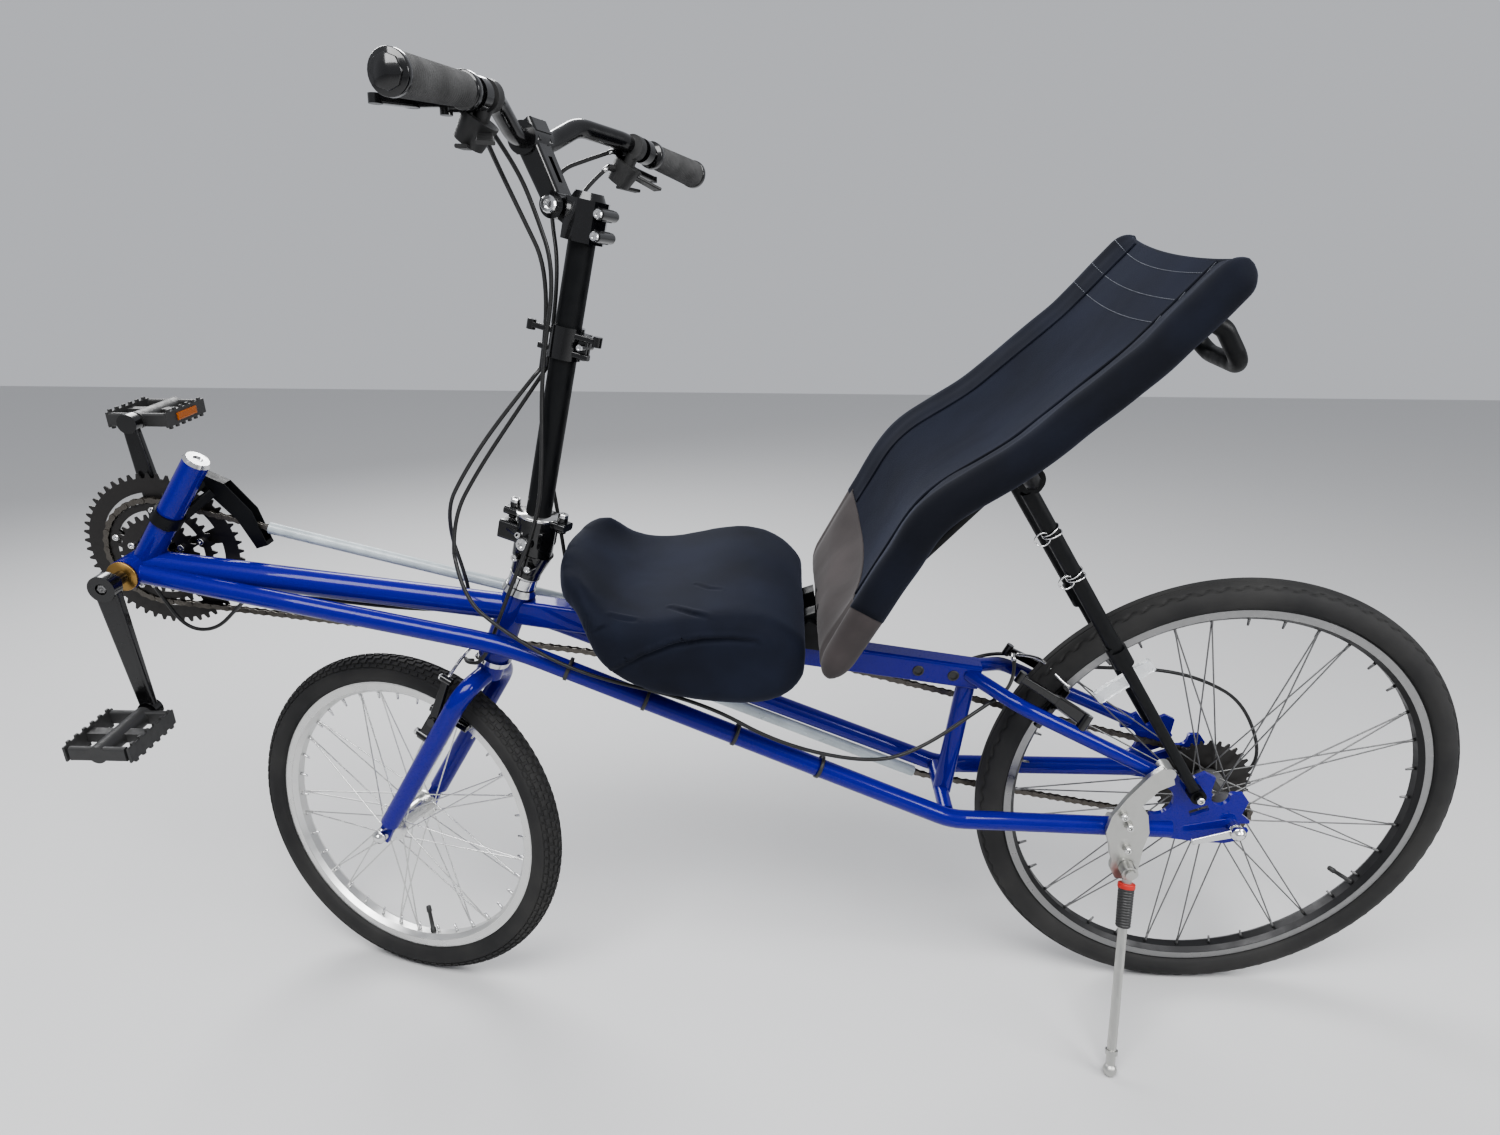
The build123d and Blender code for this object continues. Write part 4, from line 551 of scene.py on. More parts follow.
def make_finishes(settings):
    """Every material by the name of what it covers."""
    made = FINISHES
    paint = shader("blue_enamel", settings.paint, 0.3, {"Specular IOR Level": 0.15, "Coat Weight": 0.5,
                                                        "Coat Roughness": 0.04})
    add_mottle(paint, 1600.0, shade(settings.paint, 0.75), shade(settings.paint, 1.35))
    made["paint"] = add_roughness(paint, 900.0, 0.2, 0.42)
    for key, name, colour, roughness, spread, inputs in PLAIN_FINISHES:
        made[key] = add_roughness(shader(name, colour, roughness, inputs), *spread)
    for key, texture, scale, depth, strength in RELIEF:
        add_bump(made[key], texture, scale, depth, strength)
    for key, name, colour, roughness, clear, scale, strength in REFLECTORS:
        glass = shader(name, colour, roughness, {"Transmission Weight": clear, "IOR": 1.49})
        made[key] = add_bump(glass, "Voronoi", scale, 0.0004, strength)
    for key, name, setting, share, roughness, gloss, sheen, soft, mottle, weave in CLOTHS:
        base = getattr(settings, setting)
        inputs = {"Specular IOR Level": gloss, "Sheen Weight": sheen, "Sheen Roughness": soft}
        if setting == "fabric":
            inputs["Sheen Tint"] = BLUE_SHEEN
        cloth = shader(name, shade(base, share), roughness, inputs)
        scale, low, high = mottle
        add_mottle(cloth, scale, shade(base, low), shade(base, high))
        made[key] = add_bump(cloth, *weave)
    tyre = shader("tyre_rubber", (0.016, 0.016, 0.0165), 0.78, {"Specular IOR Level": 0.35})
    add_mottle(tyre, 14.0, (0.012, 0.012, 0.0125), (0.026, 0.0255, 0.0245))
    made["tyre"] = add_bump(tyre, "Noise", 600.0, 0.0002, 0.35)
    grip = shader("grip_rubber", (0.06, 0.06, 0.06), 0.82, {"Specular IOR Level": 0.35})
    add_mottle(grip, 40.0, (0.05, 0.05, 0.05), (0.085, 0.085, 0.085))
    made["grip"] = add_bump(grip, "Voronoi", 700.0, 0.0003, 0.5)
    thread = shader("pale_thread", (0.16, 0.17, 0.2), 0.7)
    made["thread"] = add_mottle(thread, 300.0, (0.11, 0.12, 0.14), (0.22, 0.23, 0.26))
    pale = shader("pale_tube", (0.3, 0.33, 0.34), 0.34, {"Transmission Weight": 0.12, "Coat Weight": 0.3})
    add_mottle(pale, 30.0, (0.4, 0.45, 0.47), (0.56, 0.62, 0.64))
    made["pale_tube"] = add_roughness(pale, 80.0, 0.26, 0.44)
    return made


NODE_FINISH = {
    "paint": "main_tube head_tube seat_beam side_tube_left side_tube_right rear_strut seat_stays "
             "dropout_left dropout_right derailleur_post fork bottom_bracket",
    "chrome": "headset_cups headset_nut rear_skewer front_skewer post_cap",
    "gloss": "front_brake rear_brake riser_clamp riser_collar stem handlebar brake_levers crank_left "
             "crank_right",
    "powder": "seat_back_frame seat_pan seat_struts seat_brace riser front_derailleur rear_derailleur",
    "plastic": "shifters left_pedal right_pedal",
    "dark_steel": "rear_hub",
    "rings": "chainrings cassette",
    "cast": "stand_bracket stand_leg",
    "silver": "front_hub",
    "rim": "front_rim",
    "black_rim": "rear_rim",
    "chain": "chain",
    "pale_tube": "chain_tubes",
    "tyre": "rear_tyre front_tyre",
    "grip": "grips",
    "housing": "handlebar_cables cable_loops frame_cables",
    "fabric": "seat_cushion",
    "sleeve": "seat_back_sleeves",
    "sling": "seat_back_sling",
    "panel": "seat_lower_panel",
    "clear": "wheel_reflector",
}


class BICYCLE_OT_finishes(Operator):
    """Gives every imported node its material"""
    bl_idname = "bicycle.finishes"
    bl_label = "Finishes"

    def execute(self, context):
        made = make_finishes(context.scene.bicycle_finish)
        for finish, names in NODE_FINISH.items():
            for name in names.split():
                node = frame["nodes"].get(name)
                if node is None:
                    continue
                node.data.materials.clear()
                node.data.materials.append(made[finish])
        return {"FINISHED"}


SKY_COLOUR = (0.93, 0.95, 1.0, 1)
# Soft lights: name, place, width in metres and power in watts; all look at one place on the bicycle
LIGHTS = (("key", (0.3, 1.7, 2.9), 2.6, 95.0), ("side", (-2.3, 1.3, 1.7), 1.6, 38.0),
          ("far", (1.5, -2.1, 2.4), 2.2, 60.0))
LIT_PLACE = Vector((0, 0, 0.45))


class BICYCLE_OT_stage(Operator):
    """Floor, soft studio light and the camera at the photograph's angle"""
    bl_idname = "bicycle.stage"
    bl_label = "Stage"

    def execute(self, context):
        scene = context.scene
        bpy.ops.mesh.primitive_plane_add(size=14)
        floor = context.object
        floor.name = "studio_floor"
        floor.data.materials.append(shader("studio_floor", scene.bicycle_finish.floor, 0.85))
        world = bpy.data.worlds.new("studio")
        scene.world = world
        world.use_nodes = True
        sky = world.node_tree.nodes["Background"]
        sky.inputs["Color"].default_value = SKY_COLOUR
        sky.inputs["Strength"].default_value = 0.5
        for name, place, size, power in LIGHTS:
            lamp = bpy.data.lights.new(name, "AREA")
            lamp.shape = "RECTANGLE"
            lamp.size = size
            lamp.size_y = size * 0.5
            lamp.energy = power
            light = bpy.data.objects.new(name, lamp)
            light.location = place
            light.rotation_euler = (LIT_PLACE - Vector(place)).to_track_quat("-Z", "Y").to_euler()
            scene.collection.objects.link(light)
        scene.view_settings.look = "AgX - Medium High Contrast"
        set_camera(scene)
        return {"FINISHED"}


# The camera was fitted to both wheels, the crank and the grips of the photograph
CAMERA_PLACE = Vector((-0.003931, 1.154313, 1.0132))
CAMERA_YAW = -88.31
CAMERA_PITCH = 17.38
CAMERA_ROLL = -0.34
PHOTO_WIDE = 1500.0
FOCAL_PX = 959.77
SENSOR_WIDE = 36.0


def set_camera(scene):
    """The camera at the photograph's place, direction and focal length."""
    data = bpy.data.cameras.new("photo_view")
    camera = bpy.data.objects.new("photo_view", data)
    scene.collection.objects.link(camera)
    yaw, pitch, roll = (math.radians(a) for a in (CAMERA_YAW, CAMERA_PITCH, CAMERA_ROLL))
    look = Vector((math.cos(yaw) * math.cos(pitch), math.sin(yaw) * math.cos(pitch), -math.sin(pitch)))
    right = look.cross(Vector((0, 0, 1))).normalized()
    up = right.cross(look)
    turn = Matrix.Rotation(roll, 3, look)
    place = Matrix((turn @ right, turn @ up, -look)).transposed().to_4x4()
    place.translation = CAMERA_PLACE
    camera.matrix_world = place
    data.sensor_fit = "HORIZONTAL"
    data.sensor_width = SENSOR_WIDE
    data.lens = SENSOR_WIDE * FOCAL_PX / PHOTO_WIDE
    scene.camera = camera


# Seat

def copy_of_node(name, node, finish):
    """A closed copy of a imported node's mesh, with its doubles merged."""
    mesh = frame["nodes"][node].data.copy()
    mesh.materials.clear()
    piece = new_piece(name, mesh, finish)
    build = bmesh.new()
    build.from_mesh(mesh)
    bmesh.ops.remove_doubles(build, verts=build.verts, dist=1e-5)
    build.to_mesh(mesh)
    build.free()
    return piece


# Folds in the cushion's cover: points (x, y, z), depth and half width in millimetres
FOLDS = (
    (((790, 150, 581), (756, 156, 603), (720, 157, 619), (688, 158, 626), (656, 160, 628),
      (628, 160, 626)), 4.2, 5.4),
    (((793, 135, 645), (780, 136, 642), (766, 138, 640)), 2.6, 4.4),
    (((812, 147, 629), (804, 148, 634), (797, 147, 637)), 2.6, 4.4),
    (((728, 113, 646), (703, 136, 650), (683, 148, 651)), 2.8, 4.6),
    (((703, 56, 650), (687, 74, 653), (671, 82, 656)), 1.3, 3.6),
)
FOLD_REACH = 18.0
NEAR_FOLD = 24.0
FOLD_SHARP = 1.6
LIP_HIGH = 0.6
LIP_AT = 1.3
# How far the nose's corners are set back from its middle, where the nose is, and half its width
NOSE_ROUND = 19.0
NOSE = (800.0, 866.0)
NOSE_HALF = 112.0
# The soft unevenness of the foam, and how far it swells
RIPPLE_DEEP = 1.6
SWELL = 0.6


def near_line(spot, line):
    """Whether a place is near any of a line's points."""
    return any((spot - Vector(point)).length < NEAR_FOLD for point in line)


def fold_depth(spot, normal, fold):
    """How deep a fold is at a place on the cushion; one lip stands proud, and it runs out at its ends."""
    line, deep, half = fold
    if not near_line(spot, line):
        return 0.0
    best = None
    for number, (start, end) in enumerate(zip(line, line[1:])):
        start, end = Vector(start), Vector(end)
        run = end - start
        share = max(0.0, min(1.0, (spot - start).dot(run) / run.length_squared))
        gap = spot - start - run * share
        if best is None or gap.length < abs(best[0]):
            way = 1 if run.cross(gap).dot(normal) > 0 else -1
            best = (gap.length * way, (number + share) / (len(line) - 1))
    off, along = best
    if abs(off) > FOLD_REACH:
        return 0.0
    reach = off / half
    run_out = 0.25 + 0.75 * math.sin(math.pi * (0.1 + 0.85 * along))
    dip = math.exp(-(reach * FOLD_SHARP) ** 2)
    lip = LIP_HIGH * math.exp(-((reach - LIP_AT) * FOLD_SHARP) ** 2)
    return deep * run_out * (dip - lip)


def bike_place(point):
    """A point of the parked frame in millimetres on the upright bicycle."""
    spot = (point - GROUND) / MM
    return Vector((spot.dot(FORWARD), spot.dot(ACROSS), spot.dot(UPRIGHT)))


def bike_way(way):
    """A direction of the parked frame on the upright bicycle."""
    return Vector((way.dot(FORWARD), way.dot(ACROSS), way.dot(UPRIGHT)))


class BICYCLE_OT_cushion(Operator):
    """The foam seat base in its stretched cover, with the folds the photograph shows"""
    bl_idname = "bicycle.cushion"
    bl_label = "Seat cushion"

    def execute(self, context):
        seat = context.scene.bicycle_seat
        cushion = copy_of_node("foam_cushion", "seat_cushion", FINISHES["fabric"])
        remesh = cushion.modifiers.new("foam", "REMESH")
        remesh.mode = "VOXEL"
        remesh.voxel_size = seat.foam_grid
        soften = cushion.modifiers.new("soften", "SMOOTH")
        soften.factor = 0.6
        soften.iterations = seat.soften
        applied(cushion)
        mesh = cushion.data
        build = bmesh.new()
        build.from_mesh(mesh)
        finer = []
        for edge in build.edges:
            middle = bike_place((edge.verts[0].co + edge.verts[1].co) / 2)
            if any(near_line(middle, fold[0]) for fold in FOLDS):
                finer.append(edge)
        bmesh.ops.subdivide_edges(build, edges=finer, cuts=2, use_grid_fill=True)
        build.to_mesh(mesh)
        build.free()
        mesh.polygons.foreach_set("use_smooth", [True] * len(mesh.polygons))
        for vertex in mesh.vertices:
            spot = bike_place(vertex.co)
            normal = bike_way(vertex.normal)
            push = sum(fold_depth(spot, normal, fold) for fold in FOLDS)
            front = ease(spot.x, *NOSE)
            vertex.co -= FORWARD * NOSE_ROUND * min(1.0, (spot.y / NOSE_HALF) ** 2) * front * MM
            ripple = noise.noise(Vector((spot.x * 0.011, spot.y * 0.009, spot.z * 0.02))) * RIPPLE_DEEP
            vertex.co += vertex.normal * (ripple + SWELL - push) * MM
        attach(cushion, "frame")
        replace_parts(cushion, "seat_cushion")
        return {"FINISHED"}


# The seat back's cover: a place on it is given by the distance up the rails from their foot, the
# distance across from the middle, and the height off the rails' middle plane towards the rider.
RAIL_BENDS = (150.0, 140.0, 260.0, 260.0)
# How far beyond a place the rails' direction is read, to carry the cloth smoothly round a bend
BEND_EASE = 6.0
# Where the lower panel's seam crosses the rails: across, distance up
SEAM = ((-190, 119), (-150, 116), (-70, 98), (0, 88), (50, 81), (110, 73), (150, 79), (190, 94))
TOP_DIP = 14.0
TOP_OVER = 10.0
TOP_ROUND = 21.0
SLING_HALF = 116.0
# The sling's height above the rails' plane at its border seams, and in the middle of its top edge
BORDER_LIFT = 8.0
TOP_LIFT = 9.0
COVER_REACH = 18.4
PANEL_REACH = 20.0
PANEL_OVER = 3.6
UNDER_PANEL = 6.0
SLEEVE_TURNS = 14
# Inside these distances across, nothing is drawn in at the rounded ends of the sleeves and the panel
SLEEVE_INNER = 150.0
SOCK_INNER = 147.0
# The cover's inner edges under the rails: (across, lift)
COVER_HEM = [(140.0, -12.5), (130.0, -10.0)]


def rail_line():
    """Points up the rails in the side view, a few millimetres apart, with their distance from the foot."""
    spots = [Vector(p) for p in BACK_PATH]
    line = [spots[0]]
    for before, corner, after, bend in zip(spots, spots[1:], spots[2:], RAIL_BENDS):
        d1 = (corner - before).normalized()
        d2 = (after - corner).normalized()
        cut = bend * math.tan(d1.angle(d2) / 2)
        start = corner - d1 * cut
        end = corner + d2 * cut
        for k in range(9):
            t = k / 8
            line.append(start * (1 - t) ** 2 + corner * 2 * t * (1 - t) + end * t ** 2)
    line.append(spots[-1])
    far = [0.0]
    for a, b in zip(line, line[1:]):
        far.append(far[-1] + (b - a).length)
    return line, far


RAIL, RAIL_FAR = rail_line()
RAIL_LENGTH = RAIL_FAR[-1]


def rail_place(distance):
    """The rails' point and direction at a distance from their foot, straight on beyond both ends."""
    last = len(RAIL) - 2
    k = 0
    while k < last and RAIL_FAR[k + 1] < distance:
        k += 1
    run = (RAIL[k + 1] - RAIL[k]).normalized()
    return RAIL[k] + run * (distance - RAIL_FAR[k]), run


def cover_spot(distance, across, lift):
    """A place on the cover, in the parked frame."""
    p, run = rail_place(distance)
    near, ahead = rail_place(distance - BEND_EASE)[1], rail_place(distance + BEND_EASE)[1]
    run = (near + run + ahead).normalized()
    q = p + Vector((run.y, -run.x)) * lift
    return on_bike(q.x, across, q.y)


def seam_height(across):
    """How far up the rails the panel's seam is."""
    for (y0, d0), (y1, d1) in zip(SEAM, SEAM[1:]):
        if across <= y1:
            break
    share = max(0.0, min(1.0, (across - y0) / (y1 - y0)))
    return d0 + (d1 - d0) * share


def top_edge(across):
    """How far up the cover reaches: its top edge dips between the corners."""
    return RAIL_LENGTH + TOP_OVER - TOP_DIP * (1 - min(1.0, (across / 176) ** 2))


def sling_lift(distance, across, sag):
    """The sling hangs between the rails, less towards its top, and rises to its border seams."""
    lower = ease(RAIL_LENGTH - distance, 20, 230)
    middle = TOP_LIFT + (BORDER_LIFT - sag - TOP_LIFT) * lower
    return BORDER_LIFT + (middle - BORDER_LIFT) * (1 - (across / SLING_HALF) ** 2)


def cover_section(reach):
    """Half of the cover's section, from the sling's border over the rail and back under it.

    Each place in it is (across, lift)."""
    section = [(121.0, 8.6), (127.0, 9.8), (134.0, 11.8), (141.0, 14.2)]
    for k in range(SLEEVE_TURNS + 1):
        a = math.radians(124 - 252 * k / SLEEVE_TURNS)
        section.append((BACK_Y + reach * math.cos(a), reach * math.sin(a)))
    return section


def rounded_end(over, length):
    """How much of a section is left where a rounded end closes it."""
    share = max(0.0, min(1.0, over / length))
    return math.sqrt(max(0.0, 1 - share ** 2))


def drawn_in(across, inner, share):
    """A place across the cloth, drawn in towards an inner line where a rounded end closes it."""
    if abs(across) <= inner:
        return across
    return math.copysign(inner + (abs(across) - inner) * share, across)


def cover_mesh(name, sag, rows=84):
    """Sling and sleeves in one cloth, with material 0 on the sleeves and 1 on the sling."""
    middle = [(SLING_HALF * (k / 10 - 1), None) for k in range(21)]
    right = cover_section(COVER_REACH) + COVER_HEM
    left = [(-y, lift) for y, lift in reversed(right)]
    section = left + middle + right
    points = []
    for i in range(rows + 1):
        u = 1 - (1 - i / rows) ** 1.3
        for y, lift in section:
            low = seam_height(y) - UNDER_PANEL
            high = top_edge(y)
            distance = low + (high - low) * u
            left_over = rounded_end(distance - (high - TOP_ROUND), TOP_ROUND)
            wrinkle = noise.noise(Vector((distance * 0.022, y * 0.05, 0.0)))
            if lift is None:
                h = sling_lift(distance, y, sag) + wrinkle * 0.5
            else:
                h = 6.0 + (lift + wrinkle * 1.3 - 6.0) * left_over
                y = drawn_in(y, SLEEVE_INNER, 0.35 + 0.65 * left_over)
            points.append(cover_spot(distance, y, h))
    count = len(section)
    first, last = len(left), len(left) + len(middle) - 1
    mesh = mesh_of(name, points, grid_faces(rows + 1, count, wrap=False))
    marks = [1 if first <= k < last else 0 for k in range(count - 1)] * rows
    mesh.polygons.foreach_set("material_index", marks)
    return mesh


# The panel's rounded foot, and how far below the rails' foot it reaches
FOOT_ROUND = 34.0
FOOT_LOW = -12.5


def panel_mesh(name, sag, rows=30):
    """The lower panel: a closed sock stretched round both rails and the bar at their foot."""
    front = [(BACK_Y * 0.9 * (k / 11 - 1), None) for k in range(23)]
    half = [spot for spot in cover_section(PANEL_REACH) if spot[0] > SOCK_INNER]
    back = [(BACK_Y * 0.8 * (1 - k / 6), -PANEL_REACH * 0.8) for k in range(13)]
    section = front + half + back + [(-y, lift) for y, lift in reversed(half)]
    points = []
    for i in range(rows + 1):
        u = i / rows
        for y, lift in section:
            high = seam_height(y) + 2.0
            distance = high + (FOOT_LOW - high) * u
            shrink = rounded_end(FOOT_LOW + FOOT_ROUND - distance, FOOT_ROUND)
            fold = noise.noise(Vector((y * 0.016, distance * 0.007, 1.7))) * 4.0
            fold += noise.noise(Vector((y * 0.045, distance * 0.012, 4.1))) * 1.4
            if lift is None:
                low_side = ease(high - distance, 2, 58)
                fold *= ease(high - distance, 6, 44)
                flush = PANEL_REACH * 0.98 - 2.0 * (1 - (y / 150) ** 2)
                at_seam = sling_lift(high, min(abs(y), SLING_HALF), sag) + PANEL_OVER
                at_seam += max(0.0, abs(y) - SLING_HALF) * 0.26
                h = (at_seam + (flush - at_seam) * low_side + fold * 0.7) * shrink
            else:
                h = (lift * (1 - 0.14 * u) + fold * 0.25) * shrink
                y = drawn_in(y, SOCK_INNER, 0.4 + 0.6 * shrink)
            points.append(cover_spot(distance, y, h))
    return mesh_of(name, points, grid_faces(rows + 1, len(section)))


def thickened(piece, thick, offset=1.0):
    """Cloth of a real thickness, with its open edges closed."""
    wall = piece.modifiers.new("cloth", "SOLIDIFY")
    wall.thickness = thick
    wall.offset = offset
    return applied(piece)


THREAD_WIDE = 3.2


def stitch_row(name, spots, side, spacing, finish):
    """Short threads along a line on the cloth."""
    points = []
    for x, r in ((-0.32, 0.1), (-0.2, 0.2), (0.2, 0.2), (0.32, 0.1)):
        for y, z in ((-1, 0), (0, 0.9), (1, 0), (0, -0.5)):
            points.append((x * spacing, y * r * THREAD_WIDE * MM, z * r * THREAD_WIDE * MM))
    faces = grid_faces(4, 4) + [(3, 2, 1, 0), (12, 13, 14, 15)]
    thread = bpy.data.objects.new("thread", mesh_of("thread", points, faces))
    face_outwards(thread.data)
    copies = max(8, round(line_length(spots) / spacing))
    row = grown(curve_piece(name, spots), path_grower(), First=thread, Second=thread, Copies=copies,
                Side=side, Finish=finish)
    mesh = thread.data
    bpy.data.objects.remove(thread)
    bpy.data.meshes.remove(mesh)
    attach(row, "frame")
    return row


def line_length(points):
    """The length of a line of straight runs."""
    return sum((b - a).length for a, b in zip(points, points[1:]))


# Rows of stitches across the top of the sling: distance below its edge at the corners, and their dip
STITCH_ROWS = ((9.0, 15.0), (46.0, 10.0), (76.0, 9.0))
STITCH_HALF = 150.0
PIPING_Y = 119.0


class BICYCLE_OT_seat_back(Operator):
    """The sling with its sleeves, piping, stitches and hems, and the panel at its foot"""
    bl_idname = "bicycle.seat_back"
    bl_label = "Seat back"

    def execute(self, context):
        seat = context.scene.bicycle_seat
        sag = seat.sag / MM
        cover = new_piece("seat_cover", cover_mesh("seat_cover", sag), FINISHES["sleeve"], FINISHES["sling"])
        thickened(cover, 0.0022)
        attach(cover, "frame")
        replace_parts(cover, "seat_back_sling", "seat_back_sleeves")
        panel = new_piece("foot_panel", panel_mesh("foot_panel", sag), FINISHES["panel"])
        face_outwards(panel.data)
        thickened(panel, 0.0016, -1.0)
        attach(panel, "frame")
        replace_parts(panel, "seat_lower_panel")
        for number, (below, dip) in enumerate(STITCH_ROWS):
            spots = []
            for k in range(41):
                y = STITCH_HALF * (k / 20 - 1)
                distance = RAIL_LENGTH - below - dip * (1 - (y / STITCH_HALF) ** 2)
                h = sling_lift(distance, y, sag) if abs(y) < SLING_HALF else 6 + (abs(y) - SLING_HALF) * 0.42
                spots.append(cover_spot(distance, y, h + 2.4))
            stitch_row("top_stitches_%d" % (number + 1), spots, ACROSS.cross(UPRIGHT),
                                   seat.stitch, FINISHES["thread"])
        cords = []
        for side in (-1, 1):
            spots = []
            low = seam_height(side * PIPING_Y) + 4
            high = top_edge(PIPING_Y) - 3
            for k in range(49):
                distance = low + (high - low) * k / 48
                lift = sling_lift(distance, SLING_HALF, sag) + 3.2
                spots.append(cover_spot(distance, side * PIPING_Y, lift))
            cords.append(tube_mesh("piping", spots, 1.7 * MM, 8))
        edge = [cover_spot(top_edge(y) - 0.5, y, sling_lift(top_edge(y), min(abs(y), 112), sag))
                for y in [-150 + 6 * k for k in range(51)]]
        cords.append(tube_mesh("top_hem", edge, 2.4 * MM, 10))
        piping = dressed("piping", joined("piping", cords), "sleeve", "frame", "seat_fabric")
        return {"FINISHED"}


# Tyres

# The tyre's bead in the rim: over the rim's edge, along the axle
BEAD = ((0.4, 10.0), (-5.5, 10.0), (-5.5, -10.0), (0.4, -10.0))
# Angles in degrees across a tyre's section, from the middle of its tread
BEAD_ANGLE = 131.0
SCALLOP_AT = 43.0
SCALLOP_SWING = 6.0
CENTRE_GROOVE = 12.0
WAVE_STEPS = 6


def tyre_mesh(name, centre, axle, tyre_r, rim_r, angles, steps, dent):
    """A closed tyre casing whose surface lies deeper by dent(turn, angle) millimetres."""
    middle = tyre_r - TYRE_HALF
    out = FORWARD if abs(axle.dot(FORWARD)) < 0.2 else axle.orthogonal().normalized()
    out = (out - axle * out.dot(axle)).normalized()
    other = axle.cross(out)
    bead = [(rim_r + over, along) for over, along in BEAD]
    points = []
    for i in range(steps):
        turn = 2 * math.pi * i / steps
        ray = out * math.cos(turn) + other * math.sin(turn)
        for angle in angles:
            thick = TYRE_HALF - dent(turn, angle)
            a = math.radians(angle)
            points.append(centre + (ray * (middle + thick * math.cos(a)) + axle * thick * math.sin(a)) * MM)
        for r, along in bead:
            points.append(centre + (ray * r + axle * along) * MM)
    mesh = mesh_of(name, points, grid_faces(steps, len(angles) + len(bead), again=True))
    face_outwards(mesh)
    return mesh


def even_angles(tread, fine, coarse):
    """Angles across a tyre's section: fine steps over the tread and coarse ones down its walls."""
    wall = max(2, round((BEAD_ANGLE - tread) / coarse))
    left = [-BEAD_ANGLE + (BEAD_ANGLE - tread) * i / wall for i in range(wall)]
    middle = [-tread + fine * i for i in range(round(2 * tread / fine) + 1)]
    return left + middle + [-a for a in reversed(left)]


# The blocks of one row: angle across the tyre, half width, half length, and how far on by the row's pitch
BLOCKS = ((0, 2.7, 4.4, 0), (-21, 2.5, 4.2, 0.5), (21, 2.5, 4.2, 0.5), (-41, 2.5, 4.4, 0), (41, 2.5, 4.4, 0),
          (-60, 2.2, 4.8, 0.5), (60, 2.2, 4.8, 0.5))


def block_mesh(name, centre, axle, tyre_r, pitch):
    """One row of tread blocks across the front tyre."""
    middle = tyre_r - TYRE_HALF
    out = (FORWARD - axle * FORWARD.dot(axle)).normalized()
    along = axle.cross(out)
    points = []
    faces = []
    for angle, wide, long, shift in BLOCKS:
        a = math.radians(angle)
        ray = out * math.cos(a) + axle * math.sin(a)
        cross = axle * math.cos(a) - out * math.sin(a)
        spin = Quaternion(axle, shift * pitch)
        for level, taper in ((18.6, 1.12), (TYRE_HALF - 0.15, 0.92)):
            for s, t in ((-1, -1), (1, -1), (1, 1), (-1, 1)):
                spot = out * middle + ray * level + cross * s * wide * taper + along * t * long * taper
                points.append(centre + spin @ (spot * MM))
        base = len(points) - 8
        faces.append((base + 4, base + 5, base + 6, base + 7))
        for k in range(4):
            n = (k + 1) % 4
            faces.append((base + k, base + n, base + 4 + n, base + 4 + k))
        faces.append((base + 3, base + 2, base + 1, base))
    mesh = mesh_of(name, points, faces, smooth=False)
    face_outwards(mesh, merge=False)
    return mesh


class BICYCLE_OT_tyres(Operator):
    """The rear tyre with its scalloped grooves and the front tyre with its blocks"""
    bl_idname = "bicycle.tyres"
    bl_label = "Tyres"

    def execute(self, context):
        tyres = context.scene.bicycle_tyres
        deep = tyres.groove / MM
        waves = tyres.waves

        def road_tread(turn, angle):
            side = abs(angle)
            edge = SCALLOP_AT + SCALLOP_SWING * math.sin(waves * turn + (0 if angle > 0 else math.pi))
            groove = 1.5 * deep * math.exp(-((side - edge) / 2.8) ** 2)
            groove += 0.6 * deep * math.exp(-((side - CENTRE_GROOVE) / 1.8) ** 2)
            return groove + 0.55 * ease(side, edge, edge + 3) + 0.25 * ease(side, 100, 104)

        def block_bed(_, angle):
            return 1.9 * (1 - ease(abs(angle), 66, 74)) + 0.2 * ease(abs(angle), 98, 102)

        rear = tyre_mesh("road_tyre", REAR_AXLE, ACROSS, REAR_TYRE_R, REAR_RIM_R, even_angles(54, 2.0, 7.0),
                         waves * WAVE_STEPS, road_tread)
        dressed("road_tyre", rear, "tyre", "rear_wheel", "tyre_rubber", "rear_tyre")
        front = tyre_mesh("block_tyre", FRONT_AXLE, FRONT_ACROSS, FRONT_TYRE_R, FRONT_RIM_R,
                          even_angles(76, 4.0, 8.0), 180, block_bed)
        dressed("block_tyre", front, "tyre", "front_wheel", "tyre_rubber", "front_tyre")
        row = block_mesh("tread_blocks", FRONT_AXLE, FRONT_ACROSS, FRONT_TYRE_R, 2 * math.pi / tyres.lugs)
        blocks = grown(new_piece("tread_blocks", row, FINISHES["tyre"]), ring_grower(), Copies=tyres.lugs,
                       Centre=FRONT_AXLE, Axle=FRONT_ACROSS, Finish=FINISHES["tyre"])
        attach(blocks, "front_wheel")
        return {"FINISHED"}


# Chain

PITCH = 12.7
# Teeth of the ring and cog that the chain is on, and of the jockey wheels
CHAIN_TEETH = (36, 12, 11)
COG_Y = -60.5
RING_Y = -48.5
GUIDE_WHEEL = (-17.0, 269.0)
TENSION_WHEEL = (-73.0, 243.0)
LOWER_BEND_FRONT = (850.0, 497.0)
LOWER_BEND_REAR = (388.0, 304.0)


def tooth_radius(teeth):
    """The radius of the chain's path round a wheel."""
    return PITCH / (2 * math.sin(math.pi / teeth))


def bend_wheel(before, corner, after, radius):
    """An imaginary wheel that rounds the chain's path at a corner."""
    d1 = (Vector(corner) - Vector(before)).normalized()
    d2 = (Vector(after) - Vector(corner)).normalized()
    sense = 1 if d1.cross(d2) > 0 else -1
    centre = Vector(corner) + (d2 - d1).normalized() * (radius / math.cos(d1.angle(d2) / 2))
    return tuple(centre), radius, sense


